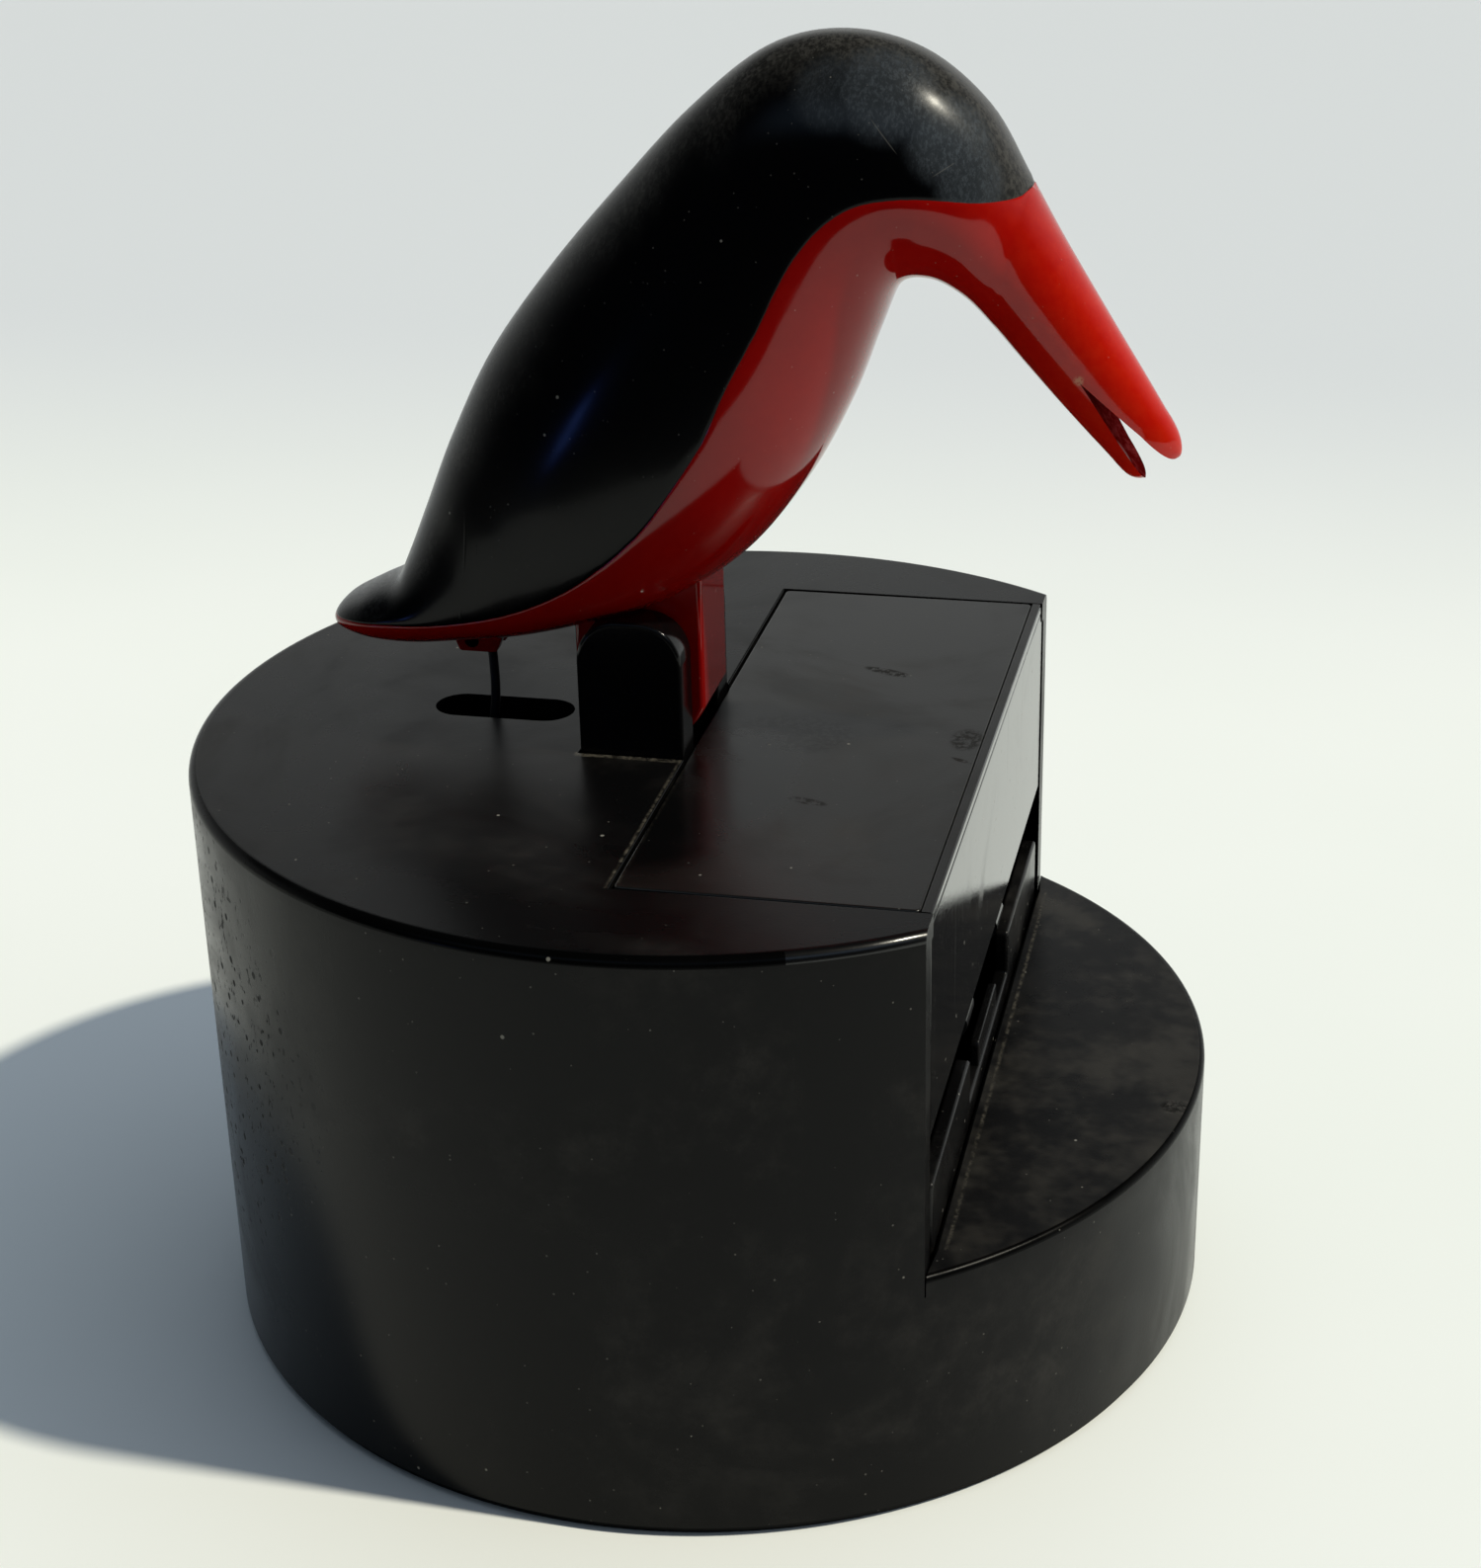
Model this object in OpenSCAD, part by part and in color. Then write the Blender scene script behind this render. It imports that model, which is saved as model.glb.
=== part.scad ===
// Toothpick dispenser: a stepped drum with a bird that bows for a pick.
// Millimetres. The origin is the centre of the drum's bottom face, +Z is
// up, and +X is the way the bird faces. The part is symmetric about XZ,
// apart from the wire's lower hook.

/* [Drum] */
// Room between the hopper's side and the drum's wall, at the front face
side_room = 1.475; // [1.4:0.025:3]
// Height of the top plate above the table
top_z = 56.2; // [54:0.1:60]
// Height of the low deck in front
deck_z = 23.8; // [22:0.1:25]
// Flat face between the top and the deck, ahead of the drum's axis
cut_x = 27.2; // [26.8:0.1:28.5]
// Wall of the drum
wall_t = 2; // [1.6:0.1:2.6]
// Thickness of the top plate and of the deck
plate_t = 2; // [2:0.1:2.4]
// Radius of the rounded rims
rim_r = 0.6; // [0.4:0.1:1.6]

/* [Bottom cover] */
// Height of the shadow step round the foot
foot_h = 1; // [0.6:0.1:1.6]
// How far the foot is set back from the drum's side
foot_inset = 0.6; // [0.4:0.1:1.2]
// Thickness of the plug inside the drum's wall
plug_t = 2; // [1.6:0.1:3]
// Radius of each screw column
column_r = 3.4; // [3:0.1:3.8]
// Height of the screw columns
column_h = 11; // [8:0.5:14]

/* [Fill lid] */
// Back edge of the lid, ahead of the drum's axis
lid_back = 0.55; // [0.4:0.05:1]
// Half width of the lid
lid_half = 35.1; // [34.9:0.1:36]
// Thickness of the lid
lid_t = 2; // [1.8:0.1:2.4]
// Gap all round the lid
lid_gap = 0.3; // [0.2:0.05:0.4]
// Radius of the lid's corners, seen from above
lid_corner = 0.4; // [0.2:0.1:1]

/* [Front panel] */
// Face of the panel behind the drum's cut face
panel_inset = 0.1; // [0.05:0.05:0.3]
// Thickness of the panel
panel_t = 1.5; // [1.4:0.1:1.8]
// Gap between the panel's ends and the drum's wall
panel_gap = 0.6; // [0.4:0.1:1]
// Bottom edge of the panel, the top of the pick slot
panel_low = 35.5; // [35.4:0.1:36.5]
// Width of the bar in front of the lid
bar_w = 0.7; // [0.5:0.1:0.7]

/* [Pick sill] */
// Top edge of the sill, the bottom of the pick slot
sill_top = 30; // [29:0.1:30.4]
// Thickness of the sill plate
sill_t = 1.4; // [1.2:0.1:1.8]
// How far the sill's ends stop short of the drum's wall
sill_gap = 2.2; // [1.8:0.1:3]
// Length of the sill's flange under the deck
flange_l = 7; // [6:0.5:9]
// Thickness of that flange
flange_t = 2; // [1.6:0.1:2.4]
// Half width of the beak's notch in the sill
notch_half = 12.7; // [12:0.1:14]
// Bottom of the notch
notch_z = 25.4; // [25:0.1:26]
// Half width of the tongue in the notch
tongue_half = 6; // [4:0.1:8]
// Top of the tongue
tongue_z = 28; // [27:0.1:29]

/* [Hopper and picks] */
// Length of a pick
pick_l = 65; // [60:0.5:66]
// Diameter of a pick
pick_d = 2; // [1.8:0.1:2.2]
// Wall of the hopper
hopper_wall = 1.4; // [1.2:0.1:1.6]
// Clear length beside a pick, at both ends together
pick_play = 2.2; // [1.6:0.1:2.4]
// Width of the throat over the tray's groove
throat_w = 3; // [2.6:0.1:3.4]
// Floor of the hopper above the tray
floor_t = 1.4; // [1:0.1:1.8]

/* [Feed tray] */
// Top face of the tray
tray_top = 34.4; // [34.2:0.1:34.6]
// Thickness of the tray
tray_t = 2.8; // [2.4:0.1:2.9]
// Groove that holds one pick, behind the drum's cut face
groove_back = 5.6; // [5.5:0.1:6]
// Travel of the tray
tray_travel = 15.6; // [14:0.1:16]
// Inner and outer half width of the two front fingers
finger_in = 7.7; // [7:0.1:8.5]
// Outer edge of the two front fingers
finger_out = 12; // [11:0.1:12.4]
// How far the fingers' tips stay behind the drum's cut face
finger_back = 0.5; // [0.4:0.1:1]

/* [Bird hinge] */
// Pivot of the bird, ahead of the drum's axis
pivot_x = -4.6; // [-5.5:0.1:-4.4]
// Pivot of the bird above the table
pivot_z = 61.7; // [61.4:0.1:63]
// Radius of the pivot pin
pivot_r = 1.6; // [1.4:0.1:2]
// Running clearance of a pin in its bore, on the radius
run_gap = 0.08; // [0.03:0.01:0.1]
// Half width of the bird's leg
leg_half = 4.6; // [4.2:0.1:4.6]
// Inner face of each ear from the middle
ear_in = 4.9; // [4.9:0.1:5.1]
// Outer face of each ear from the middle
ear_out = 9; // [8.6:0.1:9.4]
// Half length of an ear along the drum
ear_len = 4.9; // [4.7:0.1:5]
// Top of the ears
ear_top = 69; // [68:0.1:70]
// Radius of the ears' top corners
ear_r = 3.8; // [3:0.1:4.4]
// How far the bird bows, in degrees
bow_deg = 61; // [50:1:61]

/* [Linkage] */
// Hook of the wire behind the bird's pivot
hook_dx = -16.9; // [-17.2:0.1:-16.6]
// Hook of the wire above the bird's pivot
hook_dz = 2; // [1.8:0.1:2.2]
// Radius of the wire
wire_r = 0.45; // [0.4:0.05:0.5]
// Radius of the cross pin that the wire hooks over
link_pin_r = 0.7; // [0.6:0.05:0.75]
// Crank axle behind the bird's pivot
crank_dx = -3; // [-3.4:0.1:-2.8]
// Crank axle below the bird's pivot
crank_dz = -44.1; // [-45:0.1:-44]
// Radius of the crank axle
axle_r = 1.5; // [1.3:0.1:1.8]
// Radius of the pin that drives the tray
drive_r = 1.2; // [1:0.1:1.4]
// Half thickness of the crank's upper arm
arm_half = 1.6; // [1.2:0.1:1.8]
// Turns of the return spring
spring_turns = 9; // [7:1:10]
// Radius of the return spring's coils
spring_r = 2.2; // [2:0.1:2.6]
// Radius of the spring wire
spring_wire = 0.3; // [0.25:0.05:0.35]

/* [Wire slot] */
// Back end of the slot in the top plate
slot_back = -26.1; // [-26.5:0.1:-25]
// Front end of the slot
slot_front = -12.6; // [-12.6:0.1:-12]
// Width of the slot
slot_w = 5.3; // [5:0.1:6]

/* [Screws] */
// Radius of the screws' shanks
screw_r = 0.8; // [0.7:0.05:0.9]
// Radius of the screws' heads
head_r = 1.7; // [1.5:0.1:2]
// Height of the screws' heads
head_h = 1.1; // [0.9:0.1:1.3]

/* [Crank bracket] */
// Thickness of the bracket's foot and of its two cheeks
yoke_t = 2; // [1.6:0.1:2.4]
// Length of the foot, ahead of the crank's axle
yoke_front = 9; // [8:0.5:10]
// Length of the foot behind the axle
yoke_back = 7.2; // [7:0.1:7.4]
// Screws beside the axle, along the drum
yoke_screw_x = 6; // [5.6:0.1:6.2]
// Screws to each side of the middle
yoke_screw_y = 4; // [3.6:0.1:4.2]

/* [Hidden] */
$fn = 64;
eps = 0.01;
screw_gap = 0.05;
loose_gap = 0.3;

groove_x = cut_x - groove_back;
finger_tip = cut_x - finger_back;
hop_in = (pick_l + pick_play) / 2;
hop_out = hop_in + hopper_wall;
// the drum is as wide as the hopper needs at the front face
in_r = norm([cut_x, hop_out + side_room]);
drum_r = in_r + wall_t;
big = 4 * drum_r;
// the screw columns grow out of the drum's wall
column_ring = in_r - column_r + 0.6;
plate_low = top_z - plate_t;
deck_low = deck_z - plate_t;
panel_face = cut_x - panel_inset;
panel_back = panel_face - panel_t;
sill_face = cut_x - 0.05;
sill_back = sill_face - sill_t;
wall_chord = sqrt(in_r * in_r - cut_x * cut_x);
panel_half = wall_chord - panel_gap;
sill_half = wall_chord - sill_gap;
flange_half = sill_half - 4.3;
sill_screw_x = sill_face + flange_l - 3;
sill_screw_y = flange_half - 6;
lid_front = panel_face - bar_w - lid_gap;
lid_open_x = lid_back - lid_gap;
lid_open_y = lid_half + lid_gap;

tray_low = tray_top - tray_t;
tray_half = pick_l / 2 + 0.7;
tray_back = -2;
tray_mid = groove_x - pick_d / 2 - 1.6;
arm_in = 26;
arm_tip = groove_x + 3.4;
groove_r = pick_d / 2 + 0.1;
groove_z = tray_top - 0.2;

// the lid lies on the hopper's top edges
hop_top = top_z - lid_t;
hop_floor = tray_top + 0.4;
hop_front = groove_x + throat_w / 2 + 0.1;
hop_throat = groove_x - throat_w / 2 + 0.1;
hop_back = lid_open_x + 2.4;
hop_screw_x = [8, 17.5];
hop_screw_y = hop_out + 3;
hop_tab_z = 44;

crank_x = pivot_x + crank_dx;
crank_z = pivot_z + crank_dz;
hook_x = pivot_x + hook_dx;
hook_z = pivot_z + hook_dz;
eye_x = crank_x + hook_dx;
eye_z = crank_z + hook_dz;
arm_l = tray_travel / (2 * sin(bow_deg / 2));
drive_x = crank_x - arm_l * sin(bow_deg / 2);
drive_z = crank_z + arm_l * cos(bow_deg / 2);
drive_play = 0.35;
lug_in = arm_half + 0.6;
lug_out = lug_in + 2.2;
eye_in = 0.9;
eye_out = 3.4;
yoke_in = 6.2;
yoke_out = yoke_in + yoke_t;
lug_half = 3;

ear_back = pivot_x - ear_len;
ear_front = min(pivot_x + ear_len - 0.1, lid_open_x);
// the furthest that an ear reaches from the pivot, at its round corner
ear_reach = ear_r + norm([ear_len - ear_r, ear_top - ear_r - pivot_z]);
leg_r = 6.2;
leg_front = 5.8;
web_z = pivot_z - leg_r - 1.5;
flange_y = 14;
stake_r = 1.7;
pivot_screw_y = 11.6;

spring_x = crank_x - 9.2;
spring_foot = foot_h + plug_t + 3.4;
spring_top = crank_z - 1.6;

// ---- the bird's shape ------------------------------------------------
// Ribs of the body from the tail's end to the beak's tip: the point on the
// back [x, z], the point on the belly [x, z], the half width there, and how
// far down the rib its widest place lies, from 0 at the back to 1.
ribs = [
    [-35, 65.6, -34.9, 64.9, 1.6, 0.5],
    [-34, 66.8, -33.2, 64.2, 4.4, 0.42],
    [-31.4, 68.2, -30.2, 63.6, 6.2, 0.45],
    [-28.3, 69.9, -26.2, 63.5, 7, 0.52],
    [-27.1, 72.2, -21.5, 64.1, 7.6, 0.63],
    [-25.1, 77, -15.4, 65.1, 8.6, 0.73],
    [-22.3, 83.6, -9, 66.8, 9.7, 0.76],
    [-18.2, 91.4, -2, 69.2, 10.6, 0.74],
    [-12.4, 99.1, 5, 74, 11, 0.7],
    [-6, 106.3, 10.6, 81, 10.7, 0.65],
    [0.5, 113, 14.4, 88.1, 10, 0.6],
    [7.2, 118.1, 16.8, 94.3, 9.5, 0.58],
    [13.8, 119.5, 18.7, 98.5, 9.1, 0.6],
    [20.4, 117.9, 21.4, 99.1, 8.4, 0.57],
    [25.9, 113.5, 24.2, 97.6, 6.9, 0.52],
    [29.4, 107.8, 26.6, 95.1, 5.1, 0.5],
    [32.4, 102.6, 29.3, 92, 4.2, 0.5],
    [36.6, 95.8, 32.7, 88.2, 3.4, 0.5],
    [40.5, 89.6, 36, 84.7, 2.7, 0.5],
    [42.5, 86.2, 38.4, 82.3, 2, 0.5],
    [43.1, 84.2, 39.9, 81.9, 1.3, 0.5]
];
// Where the black back meets the red belly, seen from the side
seam = [
    [31.4, 108.6], [29.8, 107.1], [28.6, 106.7], [25.7, 106.8], [22, 107.3],
    [18.8, 107.3], [15.7, 106.6], [12.7, 104.4], [10.2, 100.9], [7.9, 96.2],
    [5.2, 91.1], [3.1, 86.5], [0.5, 82.5], [-2.3, 78.6], [-5.4, 75.5],
    [-9.2, 72.5], [-13, 70.3], [-17.5, 68.5], [-23.6, 67], [-30, 66.4],
    [-37, 66]
];
// The beak's mouth: two tips and the root of the slit
mouth_root = [34.4, 91];
mouth_low = [40.4, 80.6];
mouth_high = [43.9, 82.4];
rib_steps = 2;
rib_sides = 32;

// A smooth curve through the points of v, at t from 0 to 1 past point i
function knot(v, i) = v[max(0, min(len(v) - 1, i))];
function glide(v, i, t) =
    let (a = knot(v, i - 1), b = knot(v, i), c = knot(v, i + 1), d = knot(v, i + 2))
    0.5 * (2 * b + (c - a) * t + (2 * a - 5 * b + 4 * c - d) * t * t
        + (3 * b - a - 3 * c + d) * t * t * t);
function smooth(v, steps) = concat(
    [for (i = [0:len(v) - 2], k = [0:steps - 1]) glide(v, i, k / steps)],
    [v[len(v) - 1]]);
// One rib as a closed ring: two half ellipses that meet where it is widest,
// with slightly square shoulders
function ring(r) = [
    for (k = [0:rib_sides - 1])
        let (a = 360 * k / rib_sides, c = cos(a), s = sin(a),
            share = c > 0 ? r[5] * (1 - c) : r[5] - (1 - r[5]) * c,
            p = [r[0], r[1]] + ([r[2], r[3]] - [r[0], r[1]]) * share)
        [p[0], r[4] * sign(s) * pow(abs(s), 0.9), p[1]]
];
// Skin of triangles over a list of rings, with a fan at each end
module skin(rings) {
    n = len(rings);
    m = len(rings[0]);
    pts = [for (r = rings) for (p = r) p];
    ends = [for (e = [rings[0], rings[n - 1]])
        [for (c = [0:2]) let (col = [for (p = e) p[c]]) (min(col) + max(col)) / 2]];
    sides = [for (i = [0:n - 2], k = [0:m - 1])
        let (a = i * m + k, b = i * m + (k + 1) % m)
        for (f = [[a, b, a + m], [b, b + m, a + m]]) f];
    first = [for (k = [0:m - 1]) [n * m, (k + 1) % m, k]];
    last = [for (k = [0:m - 1]) [n * m + 1, (n - 1) * m + k, (n - 1) * m + (k + 1) % m]];
    polyhedron(concat(pts, ends), concat(sides, first, last), convexity = 8);
}
module bird_body() {
    skin([for (r = smooth(ribs, rib_steps)) ring(r)]);
}
// Everything above the seam, as a slab across the bird
module above_seam() {
    line = smooth(seam, 2);
    slab(60) polygon(concat(line, [[-60, 70], [-60, 150], [60, 150], [60, 108.6]]));
}
module mouth() {
    slab(20) polygon([mouth_root, mouth_low, mouth_high]);
}

// ---- helpers ---------------------------------------------------------
// Extrudes an outline drawn in X and Z by w to both sides of the middle
module slab(w) {
    rotate([90, 0, 0]) linear_extrude(2 * w, center = true) children();
}
// The same between two distances from the middle
module slice(y0, y1) {
    translate([0, y1, 0]) rotate([90, 0, 0]) linear_extrude(y1 - y0) children();
}
module box(x0, x1, y0, y1, z0, z1) {
    translate([x0, y0, z0]) cube([x1 - x0, y1 - y0, z1 - z0]);
}
// A rod across the part at [x, z], from y0 to y1
module rod(x, z, r, y0, y1) {
    translate([x, y0, z]) rotate([-90, 0, 0]) cylinder(h = y1 - y0, r = r);
}
module both() {
    children();
    mirror([0, 1, 0]) children();
}
// A round bar shape between two points in X and Z. The bar is a hair
// narrower than its round ends.
module link2d(p, q, r) {
    d = q - p;
    w = r - 0.02;
    translate(p) circle(r);
    translate(q) circle(r);
    translate(p) rotate(atan2(d[1], d[0])) translate([0, -w]) square([norm(d), 2 * w]);
}
// A screw with its head down and its tip at z1
module screw(z0, z1) {
    translate([0, 0, z0]) cylinder(h = head_h, r = head_r);
    translate([0, 0, z0]) cylinder(h = z1 - z0, r = screw_r);
}
module cover_places() {
    for (a = [30, 150, 210, 330]) rotate(a) translate([column_ring, 0, 0]) children();
}
module hopper_places() {
    for (x = hop_screw_x, s = [-1, 1]) translate([x, s * hop_screw_y, 0]) children();
}
module pivot_places() {
    for (s = [-1, 1]) translate([pivot_x, s * pivot_screw_y, 0]) children();
}
module sill_places() {
    for (s = [-1, 1]) translate([sill_screw_x, s * sill_screw_y, 0]) children();
}
module crank_places() {
    for (s = [-1, 1]) translate([crank_x + s * yoke_screw_x, s * yoke_screw_y, 0]) children();
}

// ---- the drum --------------------------------------------------------
module drum_round(z0, z1) {
    rotate_extrude() {
        translate([0, z0]) square([drum_r, z1 - rim_r - z0]);
        translate([0, z0]) square([drum_r - rim_r, z1 - z0]);
        translate([drum_r - rim_r, z1 - rim_r]) circle(rim_r);
    }
}

module drum_shell() {
    color([0.06, 0.06, 0.065]) difference() {
        union() {
            difference() {
                union() {
                    intersection() {
                        drum_round(foot_h, top_z);
                        box(-big, cut_x, -big, big, 0, big);
                    }
                    drum_round(foot_h, deck_z);
                }
                intersection() {
                    translate([0, 0, -1]) cylinder(h = plate_low + 1, r = in_r);
                    box(-big, cut_x + 0.15, -big, big, -2, big);
                }
                translate([0, 0, -1]) cylinder(h = deck_low + 1, r = in_r);
            }
            cover_places() translate([0, 0, foot_h + plug_t]) cylinder(h = column_h, r = column_r);
            hopper_places() translate([0, 0, hop_tab_z]) cylinder(h = plate_low - hop_tab_z + eps, r = 2.4);
            pivot_places() translate([0, 0, plate_low - 2]) cylinder(h = 2 + eps, r = stake_r);
        }
        // the lid's opening, open to the front
        box(lid_open_x, cut_x + 1, -lid_open_y, lid_open_y, plate_low - 3, top_z + 1);
        // the ears' opening behind it
        box(ear_back - 0.1, lid_open_x + 1, -ear_out - 0.1, ear_out + 0.1, plate_low - 3, top_z + 1);
        // the wire's slot
        translate([0, 0, plate_low - 1]) linear_extrude(plate_t + 2)
            link2d([slot_back + slot_w / 2, 0], [slot_front - slot_w / 2, 0], slot_w / 2);
        cover_places() translate([0, 0, 0]) cylinder(h = foot_h + plug_t + column_h - 2, r = screw_r + screw_gap);
        hopper_places() translate([0, 0, 0]) cylinder(h = plate_low - 1.5, r = screw_r + screw_gap);
        pivot_places() translate([0, 0, 0]) cylinder(h = top_z - 0.6, r = screw_r + screw_gap);
        sill_places() translate([0, 0, 0]) cylinder(h = deck_z - 0.6, r = screw_r + screw_gap);
    }
}

module bottom_cover() {
    color([0.05, 0.05, 0.055]) difference() {
        union() {
            cylinder(h = foot_h, r = drum_r - foot_inset);
            cylinder(h = foot_h + plug_t, r = in_r - 0.2);
        }
        cover_places() {
            translate([0, 0, -1]) cylinder(h = foot_h + plug_t + 2, r = screw_r + 0.3);
            translate([0, 0, -1]) cylinder(h = 1 + head_h + 0.4, r = head_r + 0.3);
        }
        crank_places() {
            translate([0, 0, -1]) cylinder(h = foot_h + plug_t + 2, r = screw_r + 0.3);
            translate([0, 0, -1]) cylinder(h = 1 + head_h + 0.4, r = head_r + 0.3);
        }
        translate([spring_x, 0, foot_h]) cylinder(h = plug_t + 1, r = 1.6 + screw_gap);
    }
}

module cover_screws() {
    color([0.55, 0.55, 0.56]) cover_places() screw(0.4, foot_h + plug_t + column_h - 3);
}

module front_panel() {
    color([0.07, 0.07, 0.075]) {
        box(panel_back, panel_face, -panel_half, panel_half, panel_low, plate_low - 0.2);
        box(panel_face - bar_w, panel_face, -lid_open_y + 0.2, lid_open_y - 0.2, plate_low - 0.3, top_z);
        // ribs that stand on the hopper's front wall
        both() box(hop_front + hopper_wall, panel_back + eps, hop_in - 2, hop_in - 0.4, panel_low + 1, plate_low - 2);
    }
}

module pick_sill() {
    color([0.06, 0.06, 0.065]) difference() {
        union() {
            difference() {
                box(sill_back, sill_face, -sill_half, sill_half, column_h + 4, sill_top);
                box(sill_back - 1, sill_face + 1, -notch_half, notch_half, notch_z, sill_top + 1);
            }
            box(sill_back + 0.4, sill_face - 0.2, -tongue_half, tongue_half, notch_z - 1, tongue_z);
            // flange that is screwed up against the deck
            box(sill_back + eps, sill_face + flange_l, -flange_half, flange_half,
                deck_low - flange_t, deck_low);
        }
        sill_places() cylinder(h = deck_z, r = screw_r + 0.3);
    }
}

module sill_screws() {
    color([0.55, 0.55, 0.56]) sill_places() screw(deck_low - flange_t - head_h, deck_z - 1);
}

module hopper() {
    back_low = hop_throat - hopper_wall;
    color([0.12, 0.12, 0.13]) difference() {
        union() {
            // cheeks, and under them the ledges that carry the tray
            both() box(tray_back - 2, hop_front + hopper_wall, hop_in, hop_out, tray_low - 1.7, hop_floor + floor_t + 2);
            both() slice(hop_in, hop_out) polygon([
                [back_low - 3, hop_floor + floor_t], [hop_front + hopper_wall, hop_floor],
                [hop_front + hopper_wall, hop_top], [hop_back - hopper_wall, hop_top],
                [hop_back - hopper_wall, hop_top - 5]]);
            both() box(tray_back - 2, hop_front + hopper_wall, hop_in - 2, hop_in + eps, tray_low - 1.7, tray_low - 0.3);
            // front wall, and the strip in front of the throat
            box(hop_front, hop_front + hopper_wall, -hop_out, hop_out, hop_floor, hop_top);
            // floor behind the throat
            box(back_low - 5, hop_throat, -hop_out, hop_out, hop_floor, hop_floor + floor_t);
            // sloping back wall
            slab(hop_out) polygon([
                [hop_throat - 1, hop_floor + floor_t - eps], [back_low - 1.4, hop_floor + floor_t - eps],
                [hop_back - hopper_wall, hop_top - 4], [hop_back - hopper_wall, hop_top],
                [hop_back, hop_top], [hop_back, hop_top - 3.4]]);
            // tabs for the screws
            both() for (x = hop_screw_x)
                box(x - 2.4, x + 2.4, hop_out - eps, hop_screw_y + 2.4, hop_tab_z - 2, hop_tab_z);
        }
        hopper_places() cylinder(h = plate_low, r = screw_r + 0.3);
    }
}

module hopper_screws() {
    color([0.55, 0.55, 0.56]) hopper_places() screw(hop_tab_z - 2 - head_h, plate_low - 3);
}

module fill_lid() {
    w = lid_corner;
    color([0.06, 0.06, 0.065]) union() {
        box(lid_back, lid_front, w - lid_half, lid_half - w, top_z - lid_t, top_z);
        box(lid_back + w, lid_front - w, -lid_half, lid_half, top_z - lid_t, top_z);
        both() for (x = [lid_back + w, lid_front - w])
            translate([x, lid_half - w, top_z - lid_t]) cylinder(h = lid_t, r = w);
    }
}

// ---- the feed --------------------------------------------------------
module feed_tray() {
    color([0.13, 0.13, 0.14]) difference() {
        union() {
            box(tray_back, tray_mid - 3, -tray_half, tray_half, tray_low, tray_top);
            both() box(tray_mid - 4, tray_mid, finger_in, tray_half, tray_low, tray_top);
            both() box(tray_mid - 1, finger_tip - 1, finger_in, finger_out, tray_low, tray_top);
            both() box(tray_mid - 1, arm_tip, arm_in, tray_half, tray_low, tray_top);
            // round tips of the fingers
            both() slice(finger_in, finger_out)
                translate([finger_tip - tray_t / 2, tray_low + tray_t / 2]) circle(tray_t / 2);
            // arms back to the crank, with a lug at each end
            both() box(drive_x, tray_back + 1, lug_in, lug_out, tray_low, tray_top);
            both() box(drive_x - lug_half, drive_x + lug_half, lug_in, lug_out, drive_z - 1.6, tray_top + 2);
        }
        both() rod(groove_x, groove_z, groove_r, 0, tray_half + 1);
        // the driving pin's slot, open below
        slab(lug_out + 1) {
            translate([drive_x, drive_z + (arm_l - arm_l * cos(bow_deg / 2)) + 0.3]) circle(drive_r + drive_play);
            translate([drive_x - drive_r - drive_play, drive_z - 4])
                square([2 * (drive_r + drive_play), 4.3 + arm_l - arm_l * cos(bow_deg / 2)]);
        }
    }
}

module crank_bracket() {
    z0 = foot_h + plug_t;
    color([0.1, 0.1, 0.11]) difference() {
        union() {
            box(crank_x - yoke_back, crank_x + yoke_front, -yoke_out, yoke_out, z0, z0 + yoke_t);
            both() slice(yoke_in, yoke_out) {
                translate([crank_x, crank_z]) circle(4);
                polygon([[crank_x - 7, z0 + 1], [crank_x + 7, z0 + 1], [crank_x + 4, crank_z], [crank_x - 4, crank_z]]);
            }
        }
        rod(crank_x, crank_z, axle_r, -big, big);
        crank_places() cylinder(h = z0 + yoke_t - 0.6, r = screw_r + screw_gap);
    }
}

module crank_screws() {
    color([0.55, 0.55, 0.56]) crank_places() screw(0.4, foot_h + plug_t + yoke_t - 0.7);
}

module crank_axle() {
    color([0.6, 0.6, 0.62]) rod(crank_x, crank_z, axle_r, -yoke_out - 0.4, yoke_out + 0.4);
}

module feed_crank() {
    hub = yoke_in - loose_gap;
    color([0.14, 0.14, 0.15]) difference() {
        union() {
            rod(crank_x, crank_z, 3.6, -hub, hub);
            slab(arm_half) link2d([crank_x, crank_z], [drive_x, drive_z], 2.3);
            slice(eye_in, eye_out) link2d([crank_x, crank_z], [eye_x, eye_z], 2);
        }
        rod(crank_x, crank_z, axle_r + run_gap, -big, big);
        rod(drive_x, drive_z, drive_r, -big, big);
        // the wire's eye is roomy, as this joint closes the linkage
        rod(eye_x, eye_z, wire_r + 0.35, -big, big);
        // the spring's hole
        rod(spring_x, spring_top + 1.6, 0.7, -big, big);
    }
}

module drive_pin() {
    color([0.6, 0.6, 0.62]) rod(drive_x, drive_z, drive_r, -lug_out - 0.4, lug_out + 0.4);
}

// ---- the linkage -----------------------------------------------------
// The wire's middle line: its short end behind the cross pin, the hook over
// the pin, the run down to the crank, and the bend into the crank's eye
hook_r = link_pin_r + 0.05 + wire_r;
hook_steps = 12;
bend_r = 0.9;
bend_steps = 4;
wire_plane = concat(
    [[hook_x - hook_r, 0, hook_z - 1.7]],
    [for (k = [0:hook_steps]) let (a = 180 - 180 * k / hook_steps)
        [hook_x + hook_r * cos(a), 0, hook_z + hook_r * sin(a)]],
    [[hook_x + hook_r - 0.2, 0, top_z - 1.2], [eye_x + 0.3, 0, top_z - 14], [eye_x, 0, eye_z + 4]]);
wire_bend = concat(
    [for (k = [0:bend_steps]) let (a = 90 * k / bend_steps)
        [eye_x, bend_r * (1 - cos(a)), eye_z + bend_r * (1 - sin(a))]],
    [[eye_x, eye_out + 1, eye_z]]);
wire_line = concat(wire_plane, wire_bend);
function unit(v) = v / norm(v);
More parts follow.
